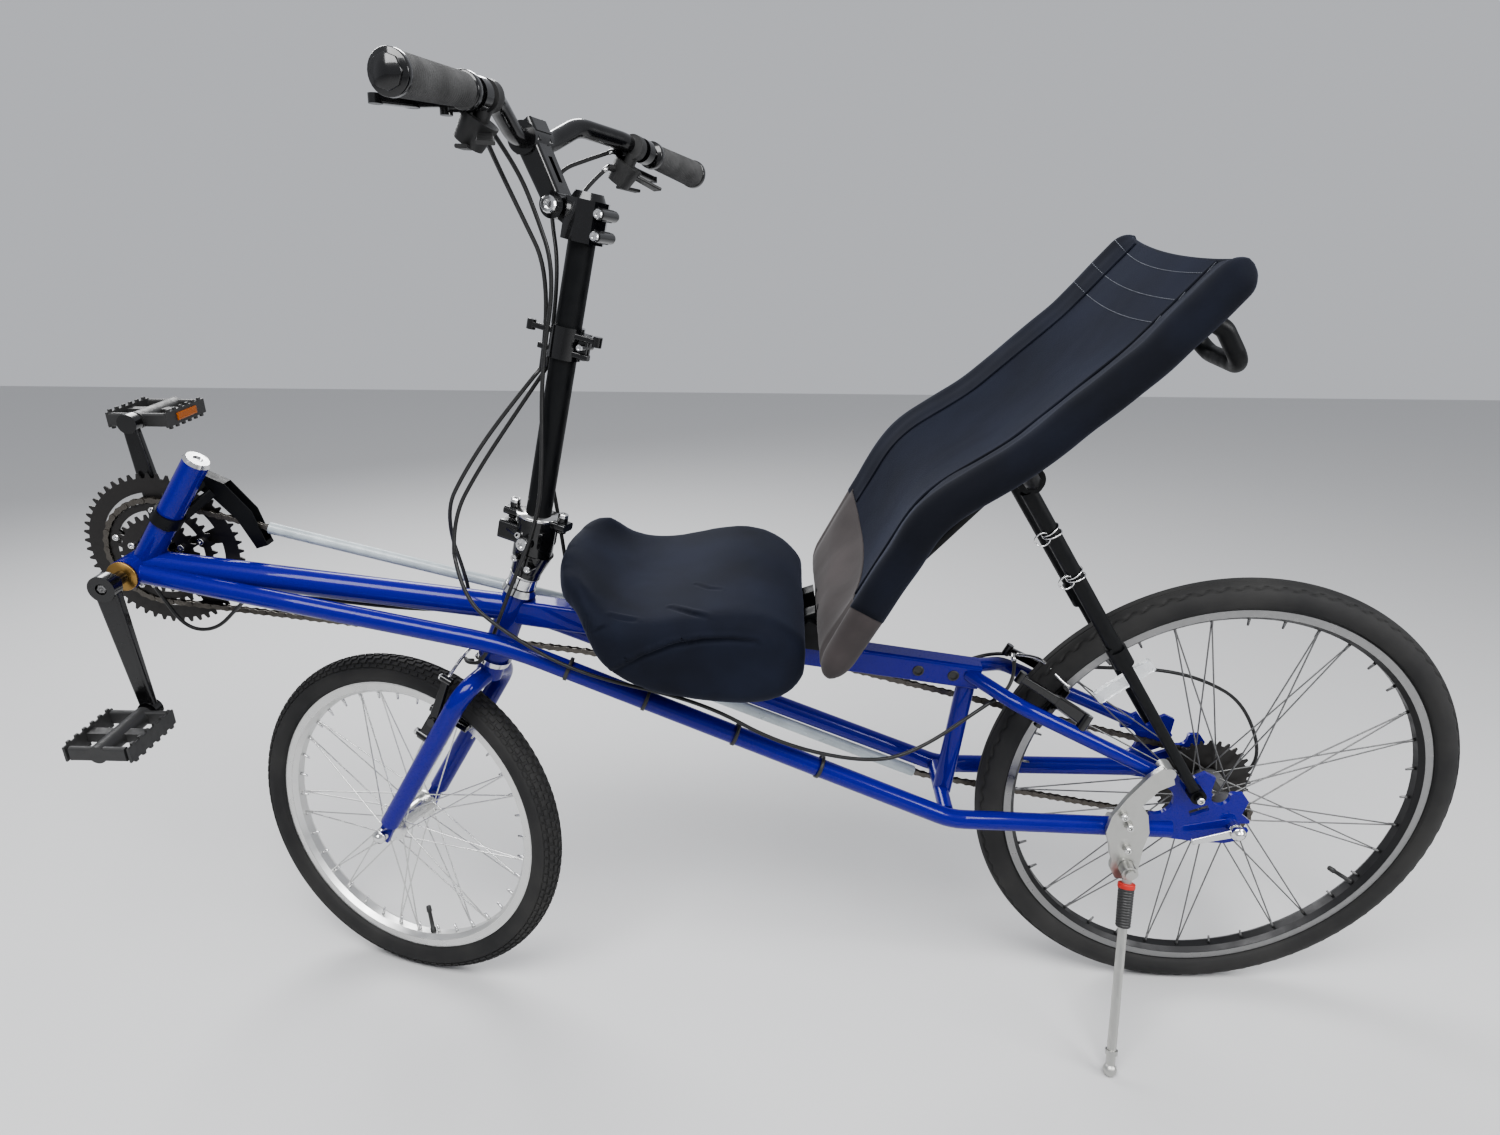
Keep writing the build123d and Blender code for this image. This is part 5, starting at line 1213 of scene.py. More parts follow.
def chain_path():
    """The chain's closed path in the side view, from arcs round its wheels and the runs between them."""
    ring_r, cog_r, jockey_r = (tooth_radius(teeth) for teeth in CHAIN_TEETH)
    ring_foot = (BRACKET[0] + 10, BRACKET[1] - ring_r)
    tension_foot = (TENSION_WHEEL[0], TENSION_WHEEL[1] - jockey_r)
    wheels = [((0.0, AXLE_HEIGHT), cog_r, -1), (BRACKET, ring_r, -1),
              bend_wheel(ring_foot, LOWER_BEND_FRONT, LOWER_BEND_REAR, 220.0),
              bend_wheel(LOWER_BEND_FRONT, LOWER_BEND_REAR, tension_foot, 180.0),
              (TENSION_WHEEL, jockey_r, -1), (GUIDE_WHEEL, jockey_r, 1)]
    count = len(wheels)
    enters, leaves = [None] * count, [None] * count
    for i in range(count):
        j = (i + 1) % count
        (ax, az), ar, a_sense = wheels[i]
        (bx, bz), br, b_sense = wheels[j]
        lean = math.asin((b_sense * br - a_sense * ar) / math.hypot(bx - ax, bz - az))
        heading = math.atan2(bz - az, bx - ax) - lean
        left = Vector((-math.sin(heading), math.cos(heading)))
        leaves[i] = Vector((ax, az)) - left * a_sense * ar
        enters[j] = Vector((bx, bz)) - left * b_sense * br
    path = []
    for i, ((cx, cz), r, sense) in enumerate(wheels):
        a0 = math.atan2(enters[i].y - cz, enters[i].x - cx)
        a1 = math.atan2(leaves[i].y - cz, leaves[i].x - cx)
        turn = (a1 - a0) % (2 * math.pi)
        if sense < 0:
            turn -= 2 * math.pi
        steps = max(6, int(abs(turn) * r / 3))
        for k in range(steps + 1):
            a = a0 + turn * k / steps
            path.append(Vector((cx + r * math.cos(a), cz + r * math.sin(a))))
    return path


# Each kind of link: its plates' distance from the chain's middle, its pins' half length and radius
LINKS = (("outer_link", 2.9, 3.4, 1.5), ("inner_link", 2.0, 1.7, 3.2))
WAIST = 0.66
PLATE_THICK = 0.7


def link_plate(y, half_pitch, tall, waist, thick):
    """One waisted plate along X, as points and faces."""
    outline = []
    for k in range(5):
        a = math.radians(-90 + 45 * k)
        outline.append((half_pitch + tall * 0.9 * math.cos(a), tall * math.sin(a)))
    outline.append((0, waist))
    for k in range(5):
        a = math.radians(90 + 45 * k)
        outline.append((-half_pitch + tall * 0.9 * math.cos(a), tall * math.sin(a)))
    outline.append((0, -waist))
    count = len(outline)
    points = [(x, y + s * thick, z) for s in (-0.5, 0.5) for x, z in outline]
    faces = [tuple(range(count)), tuple(reversed(range(count, 2 * count)))]
    for k in range(count):
        n = (k + 1) % count
        faces.append((k, k + count, n + count, n))
    return points, faces


def link_pin(x, half, r, sides=6):
    """A pin or roller across the chain, as points and faces."""
    points = []
    for y in (-half, half):
        for k in range(sides):
            a = 2 * math.pi * k / sides
            points.append((x + r * math.cos(a), y, r * math.sin(a)))
    faces = [tuple(reversed(range(sides))), tuple(range(sides, 2 * sides))]
    for k in range(sides):
        n = (k + 1) % sides
        faces.append((k, n, n + sides, k + sides))
    return points, faces


def link_mesh(name, parts):
    """One link as an object, from the points and faces of its parts in millimetres."""
    points, faces = [], []
    for some, ring in parts:
        base = len(points)
        points += [Vector(p) * MM for p in some]
        faces += [tuple(base + i for i in face) for face in ring]
    mesh = mesh_of(name, points, faces, smooth=False)
    face_outwards(mesh, merge=False)
    return bpy.data.objects.new(name, mesh)


class BICYCLE_OT_chain(Operator):
    """The chain as inner and outer links with pins, along its whole path"""
    bl_idname = "bicycle.chain"
    bl_label = "Chain"

    def execute(self, context):
        chain = context.scene.bicycle_chain
        tall = chain.plate / MM / 2
        half = PITCH / 2
        links = []
        for name, y, pin_half, pin_r in LINKS:
            plates = [link_plate(side * y, half, tall, tall * WAIST, PLATE_THICK) for side in (-1, 1)]
            pins = [link_pin(side * half, pin_half, pin_r) for side in (-1, 1)]
            links.append(link_mesh(name, plates + pins))
        outer, inner = links
        slant = (RING_Y - COG_Y) / BRACKET[0]
        spots = [on_bike(p.x, COG_Y + slant * p.x, p.y) for p in chain_path()]
        side = (ACROSS - (FORWARD + ACROSS * slant) * slant).normalized()
        line = curve_piece("link_chain", spots, closed=True)
        links = grown(line, path_grower(), First=outer, Second=inner, Copies=chain.pins, Side=side,
                      Finish=FINISHES["chain"])
        for template in (outer, inner):
            mesh = template.data
            bpy.data.objects.remove(template)
            bpy.data.meshes.remove(mesh)
        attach(links, "frame")
        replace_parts(links, "chain")
        return {"FINISHED"}


# Cables

def route_line(spots):
    """Points on a housing's smooth line, read from the NURBS curve that its route's spots control."""
    curve = bpy.data.curves.new("route", "CURVE")
    curve.dimensions = "3D"
    line = curve.splines.new("NURBS")
    line.points.add(len(spots) - 1)
    for control, spot in zip(line.points, spots):
        control.co = (*spot, 1)
    line.order_u = 3
    line.use_endpoint_u = True
    line.resolution_u = 9
    piece = bpy.data.objects.new("route", curve)
    bpy.context.scene.collection.objects.link(piece)
    graph = bpy.context.evaluated_depsgraph_get()
    mesh = bpy.data.meshes.new_from_object(piece.evaluated_get(graph), depsgraph=graph)
    points = [vertex.co.copy() for vertex in mesh.vertices]
    bpy.data.objects.remove(piece)
    bpy.data.curves.remove(curve)
    bpy.data.meshes.remove(mesh)
    return points


LEVER_INWARDS = 48
SHIFTER_INWARDS = 62
PORT_AHEAD = 22


def bars_spots(points):
    """Places that turn with the bars."""
    return [on_bars(*p) for p in points]


def bike_spots(points):
    """Places that stay with the frame."""
    return [on_bike(*p) for p in points]


def lever_port(side):
    """Where the brake housing leaves its lever."""
    return tuple(bar_spot(side, GRIP_LONG + LEVER_INWARDS, (PORT_AHEAD, 0, -6)))


def shifter_port(side):
    """Where the gear housing leaves its shifter."""
    return tuple(bar_spot(side, GRIP_LONG + SHIFTER_INWARDS, (PORT_AHEAD, 0, -28)))


def collar_spot(side, z=900):
    """Where a housing passes the riser, as a rule at its collar."""
    return tuple(riser_front(side, z))


def bars_housings():
    """The four housings from the levers and shifters, as lists of places that turn with the bars."""
    left_brake = bars_spots([lever_port(1), (880, 118, 1153), (878, 62, 1112), (876, 36, 1078),
                             collar_spot(21, 1010), collar_spot(20), (880, 30, 790), (884, 38, 720)])
    left_brake += [steer_spot(*p) for p in ((120, -4, 36), (80, -1, 30), (0, -1, 30), (-14, 22, 27),
                                            (-22, 36, 8), (-36, 40, -8), (-43, 40, -26))]
    left_shift = bars_spots([shifter_port(1), (884, 96, 1118), (886, 56, 1080), collar_spot(9, 1000),
                             collar_spot(7)])
    right_brake = bars_spots([lever_port(-1), (884, -112, 1146), (899, -64, 1128), (896, -34, 1090),
                              collar_spot(-9, 1000), collar_spot(-7)])
    right_shift = bars_spots([shifter_port(-1), (884, -100, 1112), (880, -62, 1076), collar_spot(-24, 1000),
                              collar_spot(-20)])
    return left_brake, left_shift, right_brake, right_shift


def loop_housings():
    """The three housings that loop from the riser's collar down to the frame."""
    tops = [bars_spots([collar_spot(side)]) for side in (-7, 7, -20)]
    rear_brake = bike_spots([(925, -22, 845), (975, -2, 775), (1008, 14, 718), (1006, 30, 676)])
    front_gear = bike_spots([(944, -4, 838), (988, 14, 776), (1020, 4, 722), (1023, -22, 668)])
    rear_gear = bike_spots([(902, -34, 826), (888, -36, 720), (881, -34, 622)])
    return [top + run for top, run in zip(tops, (rear_brake, front_gear, rear_gear))]


def frame_housings():
    """The same three housings along the frame to the rear brake and both derailleurs."""
    rear_brake = bike_spots([(1006, 30, 676), (994, 54, 630), (948, 66, 591), (853, 72, 532),
                             (699, 76, 500), (597, 78, 438), (480, 74, 410), (415, 60, 423),
                             (330, 36, 478), (300, 18, 488), (286, -6, 510), (287, -25, 520)])
    front_gear = bike_spots([(1023, -22, 668), (1010, -27, 602), (1018, -24, 582), (1060, -6, 578),
                             (1290, -4, 606), (1330, -28, 572), (1370, -30, 534), (1412, -30, 536),
                             (1430, -22, 590), (1430, -10, 616)])
    rear_gear = bike_spots([(881, -34, 622), (868, -26, 586), (800, -20.5, 557), (380, -20.5, 498),
                            (300, -62, 508), (230, -76, 480), (158, -74, 476), (70, -74, 476),
                            (0, -82, 456), (-70, -98, 412), (-112, -98, 330), (-98, -94, 288),
                            (-58, -88, 288), (-34, -84, 299)])
    return rear_brake, front_gear, rear_gear


def housing(name, spots, radius, body=None):
    """One housing along the smooth line through its spots, moving with its body if one is given."""
    line = route_line(spots)
    piece = new_piece(name, tube_mesh(name, line, radius, 10), FINISHES["housing"])
    if body:
        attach(piece, body)
    return piece


def ferrule(spots, at_end=False, radius=3.2, long=11.0):
    """A metal cap over the end of a housing."""
    line = route_line(spots)
    if at_end:
        line.reverse()
    run = (line[1] - line[0]).normalized()
    return tube_mesh("ferrule", [line[0] - run * 0.001, line[0] + run * long * MM], radius * MM, 12)


# A loop's top is placed at the riser's collar with the bars as drawn and the rest on the frame; the loop
# moves with neither
BAR_HOUSINGS = ("left_brake_housing", "left_shift_housing", "right_brake_housing", "right_shift_housing")
LOOP_HOUSINGS = ("rear_brake_loop", "front_gear_loop", "rear_gear_loop")
FRAME_HOUSINGS = ("rear_brake_housing", "front_gear_housing", "rear_gear_housing")


class BICYCLE_OT_cables(Operator):
    """Brake and gear housings: with the bars, along the frame, and the loops between them"""
    bl_idname = "bicycle.cables"
    bl_label = "Cables"

    def execute(self, context):
        radius = context.scene.bicycle_cables.radius
        for name, spots in zip(BAR_HOUSINGS, bars_housings()):
            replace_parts(housing(name, spots, radius, "steering"), "handlebar_cables")
        for name, spots in zip(FRAME_HOUSINGS, frame_housings()):
            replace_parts(housing(name, spots, radius, "frame"), "frame_cables")
        for name, spots in zip(LOOP_HOUSINGS, loop_housings()):
            loop = housing(name, spots, radius)
            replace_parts(loop, "cable_loops")
            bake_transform(loop)
        caps = [ferrule(line) for line in bars_housings()]
        ends = new_piece("lever_ferrules", joined("lever_ferrules", caps), FINISHES["silver"])
        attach(ends, "steering")
        caps = [ferrule(line, at_end=True) for line in frame_housings()]
        ends = new_piece("frame_ferrules", joined("frame_ferrules", caps), FINISHES["silver"])
        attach(ends, "frame")
        return {"FINISHED"}


# Fasteners and small parts

def spot_grower():
    """A template at every point, turned along the point's way and scaled to its size."""
    grow = Grower("parts_at_places")
    for name, kind, default in (("Part", "Object", None), ("Finish", "Material", None)):
        grow.size(name, kind, default)
    given = grow.open()
    part = grow.node("GeometryNodeObjectInfo", Object=given["Part"])
    way = grow.node("GeometryNodeInputNamedAttribute", {"data_type": "FLOAT_VECTOR"}, Name="way")
    size = grow.node("GeometryNodeInputNamedAttribute", {"data_type": "FLOAT"}, Name="size")
    turn = grow.node("FunctionNodeAlignRotationToVector", {"axis": "Z"}, Vector=way.outputs[0])
    copies = grow.node("GeometryNodeInstanceOnPoints", Points=given["Geometry"],
                       Instance=part.outputs["Geometry"], Rotation=turn.outputs[0], Scale=size.outputs[0])
    grow.close(copies.outputs[0], given["Finish"])
    return grow


def turned_part(name, profile, sides=12):
    """A small turned part along Z in millimetres; each profile entry is (radius, height)."""
    points = []
    for r, z in profile:
        for k in range(sides):
            a = 2 * math.pi * k / sides
            points.append((r * math.cos(a) * MM, r * math.sin(a) * MM, z * MM))
    faces = grid_faces(len(profile), sides)
    faces.append(tuple(reversed(range(sides))))
    faces.append(tuple(range((len(profile) - 1) * sides, len(profile) * sides)))
    return bpy.data.objects.new(name, mesh_of(name, points, faces, smooth=False))


def bolt_template():
    """A socket head of one millimetre radius."""
    return turned_part("socket_head", [(1.0, -0.25), (1.0, 0.62), (0.86, 0.8), (0.52, 0.8), (0.46, 0.25)])


def nut_template():
    """A hexagon nut with a domed end, of one millimetre radius."""
    profile = [(1.0, -0.25), (1.0, 0.62), (0.8, 0.78), (0.42, 0.8), (0.3, 1.1)]
    return turned_part("hexagon_nut", profile, sides=6)


def ring_template():
    """An eyelet of one millimetre radius."""
    profile = [(1.35, -0.12), (1.35, 0.1), (1.18, 0.24), (0.95, 0.2), (0.88, -0.1)]
    return turned_part("eyelet", profile, sides=16)


def placed_parts(name, body, template, finish, places):
    """Copies of one small part; each place is (point, way, size)."""
    mesh = bpy.data.meshes.new(name)
    mesh.from_pydata([tuple(p) for p, way, size in places], [], [])
    mesh.attributes.new("way", "FLOAT_VECTOR", "POINT")
    mesh.attributes.new("size", "FLOAT", "POINT")
    for i, (p, way, size) in enumerate(places):
        mesh.attributes["way"].data[i].vector = way.normalized()
        mesh.attributes["size"].data[i].value = size
    finish = FINISHES[finish]
    piece = grown(new_piece(name, mesh, finish), spot_grower(), Part=template, Finish=finish)
    old = template.data
    bpy.data.objects.remove(template)
    bpy.data.meshes.remove(old)
    face_outwards(piece.data)
    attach(piece, body)
    return piece


EYELETS = (372.0, 418.0)
# Bolts at both ends of the left strut (x, y, z, size), and of the stand's bracket (x, y, z)
STRUT_BOLTS = ((326, 111.8, 804, 6.5), (62, 96.8, 380, 5.0))
STAND_BOLTS = ((152, 94.8, 350), (140, 94.8, 298), (143, 94.8, 334))
# Bolts of the chainrings: distance from the crank's axis, y, side that the head faces, size
RING_BOLTS = ((60.0, -47.2, 1, 4.6), (35.0, -40.2, 1, 4.6), (60.0, -61.8, -1, 4.8))
# The outer faces of the left and right crank, across from the middle
CRANK_ENDS = (73.0, -78.2)
# Bolts of the front brake's left arm: height over the front axle, ahead, side, size
BRAKE_BOLTS = ((180, 44, 52, 5.0), (268, 42, 42, 4.2))
# Bolts of the riser's clamp, collar and stem, by their place on the riser (height, ahead, side) and size
BAR_BOLTS = (((28, -3, 32), 8.2), ((34, 10, 24), 4.4), ((5, 8, 28), 4.6), ((-4, -12, 28), 4.6),
             ((402, -25, 19), 5.6), ((426, -25, 19), 5.6), ((402, -25, -19), 5.6), ((426, -25, -19), 5.6),
             ((424, 34, 21), 10.0), ((424, 34, -21), 10.0), ((277, -26, 14), 4.0))


def on_bars_way(x, y, z):
    """A direction that turns with the bars."""
    return on_bars(x, y, z) - on_bars(0, 0, 0)


class BICYCLE_OT_fasteners(Operator):
    """Bolts, nuts and eyelets on the frame, chainrings, cranks, bars and front brake"""
    bl_idname = "bicycle.fasteners"
    bl_label = "Fasteners"

    def execute(self, context):
        left, right = ACROSS, -ACROSS
        beam = []
        for x in EYELETS:
            z = on_line(x, BEAM_REAR, BEAM_FRONT)
            beam += [(on_bike(x, side * 16.1, z), way, 5.6) for side, way in ((1, left), (-1, right))]
        placed_parts("beam_eyelets", "frame", ring_template(), "plastic", beam)
        places = []
        for side, way in ((1, left), (-1, right)):
            places += [(on_bike(x, side * y, z), way, size) for x, y, z, size in STRUT_BOLTS]
        places += [(on_bike(*spot), left, 4.8) for spot in STAND_BOLTS]
        placed_parts("frame_bolts", "frame", bolt_template(), "silver", places)
        rings = []
        for k in range(5):
            a = math.radians(72 * k + 20)
            for reach, y, side, size in RING_BOLTS:
                x, z = BRACKET[0] + reach * math.cos(a), BRACKET[1] + reach * math.sin(a)
                rings.append((on_bike(x, y, z), ACROSS * side, size))
        placed_parts("ring_bolts", "cranks", bolt_template(), "chrome", rings)
        places = [(on_bike(BRACKET[0], y, BRACKET[1]), way, 6.2)
                  for y, way in zip(CRANK_ENDS, (left, right))]
        placed_parts("crank_bolts", "cranks", nut_template(), "dark_steel", places)
        up = (riser_spot(100) - riser_spot(0)).normalized()
        places = [(riser_spot(*spot), FRONT_ACROSS * math.copysign(1, spot[2]), size)
                  for spot, size in BAR_BOLTS]
        places += [(riser_spot(66, ahead), up, 6.4) for ahead in (-34, 34)]
        placed_parts("bar_bolts", "steering", bolt_template(), "chrome", places)
        ahead = on_bars_way(HEAD_SIN, 0, HEAD_COS)
        brake = []
        for side in (-1, 1):
            brake += [(steer_spot(up - FRONT_DROP, off, side * y), ahead, size)
                      for up, off, y, size in BRAKE_BOLTS]
        placed_parts("front_brake_bolts", "steering", bolt_template(), "silver", brake)
        return {"FINISHED"}


def skin_mesh(name, a, b, rings, sides=24):
    """A turned skin from a to b; rings are (share of the way, radius in millimetres)."""
    return tube_mesh(name, [a.lerp(b, share) for share, r in rings], [r * MM for share, r in rings], sides)


def ribs(count, low, high, deep):
    """Rings of a ribbed rubber part whose radius goes from low to high."""
    rings = []
    for k in range(count):
        for step, rise in ((0.0, 0.0), (0.18, 1.0), (0.55, 1.0), (0.73, 0.0)):
            share = (k + step) / count
            rings.append((share, low + (high - low) * share + rise * deep))
    rings.append((1.0, high))
    return rings


def plain_ring(radius, edge=0.12):
    """Rings of a collar with broken edges."""
    return [(0.0, radius - 0.6), (edge, radius), (1 - edge, radius), (1.0, radius - 0.6)]


def band_mesh(name, centre, axle, inner, outer, offset, steps=120):
    """A thin flat ring round an axle, such as a brake track."""
    out = (FORWARD - axle * FORWARD.dot(axle)).normalized()
    other = axle.cross(out)
    profile = ((inner, 0.0), (inner, 0.35), (outer, 0.35), (outer, 0.0))
    points = []
    for i in range(steps):
        angle = 2 * math.pi * i / steps
        ray = out * math.cos(angle) + other * math.sin(angle)
        for r, rise in profile:
            points.append(centre + (ray * r + axle * (offset + rise * (1 if offset > 0 else -1))) * MM)
    mesh = mesh_of(name, points, grid_faces(steps, 4, again=True), smooth=False)
    face_outwards(mesh)
    return mesh


def tie_mesh(name, centre, way, radius, wide=3.4, thick=1.0):
    """A cable tie: a band with its small lock."""
    side = way.orthogonal().normalized()
    other = way.cross(side)
    points = []
    steps = 20
    half = wide / 2
    profile = ((radius, -half), (radius + thick, -half), (radius + thick, half), (radius, half))
    for i in range(steps):
        angle = 2 * math.pi * i / steps
        for r, along in profile:
            r += 2.4 if i == 0 and r > radius else 0.0
            ray = side * math.cos(angle) * r + other * math.sin(angle) * r
            points.append(centre + (ray + way * along) * MM)
    mesh = mesh_of(name, points, grid_faces(steps, 4, again=True))
    face_outwards(mesh)
    return mesh


SIDE_TUBE_FRONT = (944, 52, 560)
SIDE_TUBE_REAR = (367, 65, 318.9)


def side_tube_spot(x):
    """The left side tube's middle where it crosses a station."""
    (x0, y0, z0), (x1, y1, z1) = SIDE_TUBE_FRONT, SIDE_TUBE_REAR
    share = (x - x0) / (x1 - x0)
    return on_bike(x, y0 + (y1 - y0) * share, z0 + (z1 - z0) * share)


TIE_STATIONS = (868, 770, 655, 545)
# A tie goes round the tube and the housing above it
TIE_LIFT = 1.6
TIE_R = 14.6
TIE_WIDE = 4.6


class BICYCLE_OT_ties(Operator):
    """Cable ties that hold the rear brake housing on the left side tube"""
    bl_idname = "bicycle.ties"
    bl_label = "Cable ties"

    def execute(self, context):
        run = (side_tube_spot(400) - side_tube_spot(900)).normalized()
        meshes = [tie_mesh("tie", side_tube_spot(x) + UPRIGHT * TIE_LIFT * MM, run, TIE_R, TIE_WIDE)
                  for x in TIE_STATIONS]
        dressed("frame_ties", joined("frame_ties", meshes), "plastic", "frame", "black_plastic")
        return {"FINISHED"}


# The inner and outer edge of a brake track, inwards from the rim's edge
TRACK_EDGES = (11.5, 1.5)


class BICYCLE_OT_brake_tracks(Operator):
    """The brake tracks on both rims"""
    bl_idname = "bicycle.brake_tracks"
    bl_label = "Brake tracks"

    def execute(self, context):
        rims = (("front_tracks", "front_wheel", FRONT_AXLE, FRONT_ACROSS, FRONT_RIM_R, "silver", "alloy"),
                ("rear_tracks", "rear_wheel", REAR_AXLE, ACROSS, REAR_RIM_R, "brake_band", "dark_steel"))
        for name, body, centre, axle, rim_r, finish, slot in rims:
            inner, outer = (rim_r - inwards for inwards in TRACK_EDGES)
            meshes = [band_mesh("track", centre, axle, inner, outer, side * RIM_HALF) for side in (-1, 1)]
            dressed(name, joined(name, meshes), finish, body, slot)
        return {"FINISHED"}


def slab_mesh(name, centre, half):
    """A block with slightly broken edges on the upright bicycle."""
    points = []
    for level, shrink in ((-1, 1.2), (-0.8, 0), (0.8, 0), (1, 1.2)):
        for sx, sy in ((-1, -1), (1, -1), (1, 1), (-1, 1)):
            points.append(on_bike(centre[0] + half[0] * level, centre[1] + sx * (half[1] - shrink),
                                  centre[2] + sy * (half[2] - shrink)))
    faces = grid_faces(4, 4) + [(3, 2, 1, 0), (12, 13, 14, 15)]
    mesh = mesh_of(name, points, faces, smooth=False)
    face_outwards(mesh)
    return mesh


# The right pedal's middle across, half its length and half a reflector's three sizes
PEDAL_Y = -138
PEDAL_HALF = 41.2
REFLECTOR_HALF = (1.4, 22, 5.0)


class BICYCLE_OT_reflectors(Operator):
    """The amber reflectors on the right pedal's cage"""
    bl_idname = "bicycle.reflectors"
    bl_label = "Pedal reflectors"

    def execute(self, context):
        x = BRACKET[0] - CRANK_LONG * math.cos(math.radians(CRANK_ANGLE))
        z = BRACKET[1] - CRANK_LONG * math.sin(math.radians(CRANK_ANGLE))
        meshes = [slab_mesh("reflector", (x + lead * PEDAL_HALF, PEDAL_Y, z), REFLECTOR_HALF)
                  for lead in (-1, 1)]
        dressed("pedal_reflectors", joined("reflectors", meshes), "amber", "pedal_right", "clear_plastic")
        return {"FINISHED"}


# The curved steel tubes that lead the brake cables to the arms
FRONT_NOODLE = ((292, 36, -38), (296, 38, -30), (300, 40, -10), (290, 38, 16), (268, 34, 42))
REAR_NOODLE = ((283, -24, 521), (262, -8, 528), (248, 8, 522), (238, 22, 512), (226, 34, 505))


class BICYCLE_OT_noodles(Operator):
    """The curved metal ends of both rim brakes' housings"""
    bl_idname = "bicycle.noodles"
    bl_label = "Brake noodles"

    def execute(self, context):
        front = [steer_spot(up - FRONT_DROP, ahead, side) for up, ahead, side in FRONT_NOODLE]
        rear = [on_bike(*spot) for spot in REAR_NOODLE]
        for name, body, spots in (("front", "steering", front), ("rear", "frame", rear)):
            noodle = tube_mesh("noodle", route_line(spots), 2.2 * MM, 12)
            dressed(name + "_noodle", noodle, "silver", body, "alloy")
        return {"FINISHED"}


# A grip's rubber, and its two clamp rings and faceted plug: inner and outer end by their distance
# inwards from the bar's end, radius, share of the broken edges, and sides
GRIP_RUBBER = (118, 5)
GRIP_RINGS = ((126, 117, 17.2, 0.12, 28), (6, -1.5, 18.6, 0.12, 28), (-1.5, -5, 14.5, 0.3, 8))


class BICYCLE_OT_grips(Operator):
    """Ribbed rubber grips between two clamp rings, with faceted plugs at the bar's ends"""
    bl_idname = "bicycle.grips"
    bl_label = "Grips"

    def execute(self, context):
        for name, side in (("left", 1), ("right", -1)):
            def along(inwards):
                return on_bars(*bar_spot(side, inwards))

            inner, outer = GRIP_RUBBER
            rubber = skin_mesh("grip", along(inner), along(outer), ribs(30, 14.2, 16.9, 0.9), 28)
            dressed(name + "_grip", rubber, "grip", "steering", "grip_rubber", "grips")
            hard = [skin_mesh("ring", along(inner), along(outer), plain_ring(radius, edge), sides)
                    for inner, outer, radius, edge, sides in GRIP_RINGS]
            dressed(name + "_grip_rings", joined("rings", hard), "gloss", "steering", "black_plastic")
        return {"FINISHED"}


STAND_TOP = (136, 97, 268)
STAND_FOOT = (157, 201, 27.7)
# Down the stand's leg from its top: both ends of the red ring and of the ribbed sleeve
STAND_RING = (17.5, 24.2)
STAND_SLEEVE = (24, 75)
# Both ends of a bottom bracket cup, across from the middle
CUP_ENDS = (34.1, 38.4)
# The bright rim of the headset nut, above the head tube
NUT_OVER_HEAD = 24.6


class BICYCLE_OT_trims(Operator):
    """The stand's red ring and ribbed sleeve, the bottom bracket's cups and the bars' bright rims"""
    bl_idname = "bicycle.trims"
    bl_label = "Trims"

    def execute(self, context):
        top = on_bike(*STAND_TOP)
        way = (on_bike(*STAND_FOOT) - top).normalized() * MM
        start, end = STAND_RING
        ring = skin_mesh("ring", top + way * start, top + way * end, plain_ring(11.2), 28)
        dressed("stand_ring", ring, "red", "stand", "black_plastic")
        start, end = STAND_SLEEVE
        sleeve = skin_mesh("sleeve", top + way * start, top + way * end, ribs(14, 9.6, 8.8, 0.9), 24)
        dressed("stand_sleeve", sleeve, "plastic", "stand", "black_plastic")
        cups = []
        for side in (-1, 1):
            inner, outer = (on_bike(BRACKET[0], side * y, BRACKET[1]) for y in CUP_ENDS)
            cups.append(skin_mesh("cup", inner, outer, plain_ring(19.5, 0.25), 32))
        dressed("bracket_cups", joined("cups", cups), "brass", "frame", "alloy")
        nut = HEAD_LONG + NUT_OVER_HEAD
        rims = [skin_mesh("rim", riser_spot(56.5), riser_spot(60.6), plain_ring(27.8, 0.3), 40),
                skin_mesh("rim", steer_spot(nut), steer_spot(nut + 3.0), plain_ring(19.9, 0.3), 40)]
        dressed("clamp_rims", joined("rims", rims), "silver", "steering", "alloy")
        return {"FINISHED"}


def wire_clip(centre, run):
    """A spring wire round a strut, with its bow on the near side."""
    across = (ACROSS - run * ACROSS.dot(run)).normalized()
    ahead = run.cross(across)
    hoops = []
    for start, high in ((-3.0, 1.5), (3.0, -1.5)):
        hoops.append([centre + ((across * math.cos(a) + ahead * math.sin(a)) * HOOP_R
                                + run * (start + high * math.sin(a))) * MM for a in CLIP_TURNS])
    hoops.append([centre + (ahead * (12.5 + 9.0 * math.cos(a)) + run * 8.0 * math.sin(a) + across * 7.0) * MM
                  for a in CLIP_TURNS])
    return [tube_mesh("wire", hoop, WIRE_R * MM, 8, closed=True) for hoop in hoops]


CLIP_TURNS = [math.radians(20 * k) for k in range(18)]
HOOP_R = 10.6
WIRE_R = 1.1
STRUT_TOP = (326.0, 98.0, 790.0)
STRUT_FOOT = (62.0, 84.0, 380.0)
CLIP_SHARES = (0.12, 0.25)
# A domed nut on an axle's end: (share of its length, radius)
AXLE_NUT = ((0.0, 9.6), (0.45, 9.6), (0.5, 8.2), (0.9, 5.4), (1.0, 4.6))
AXLE_NUT_LONG = 9.5


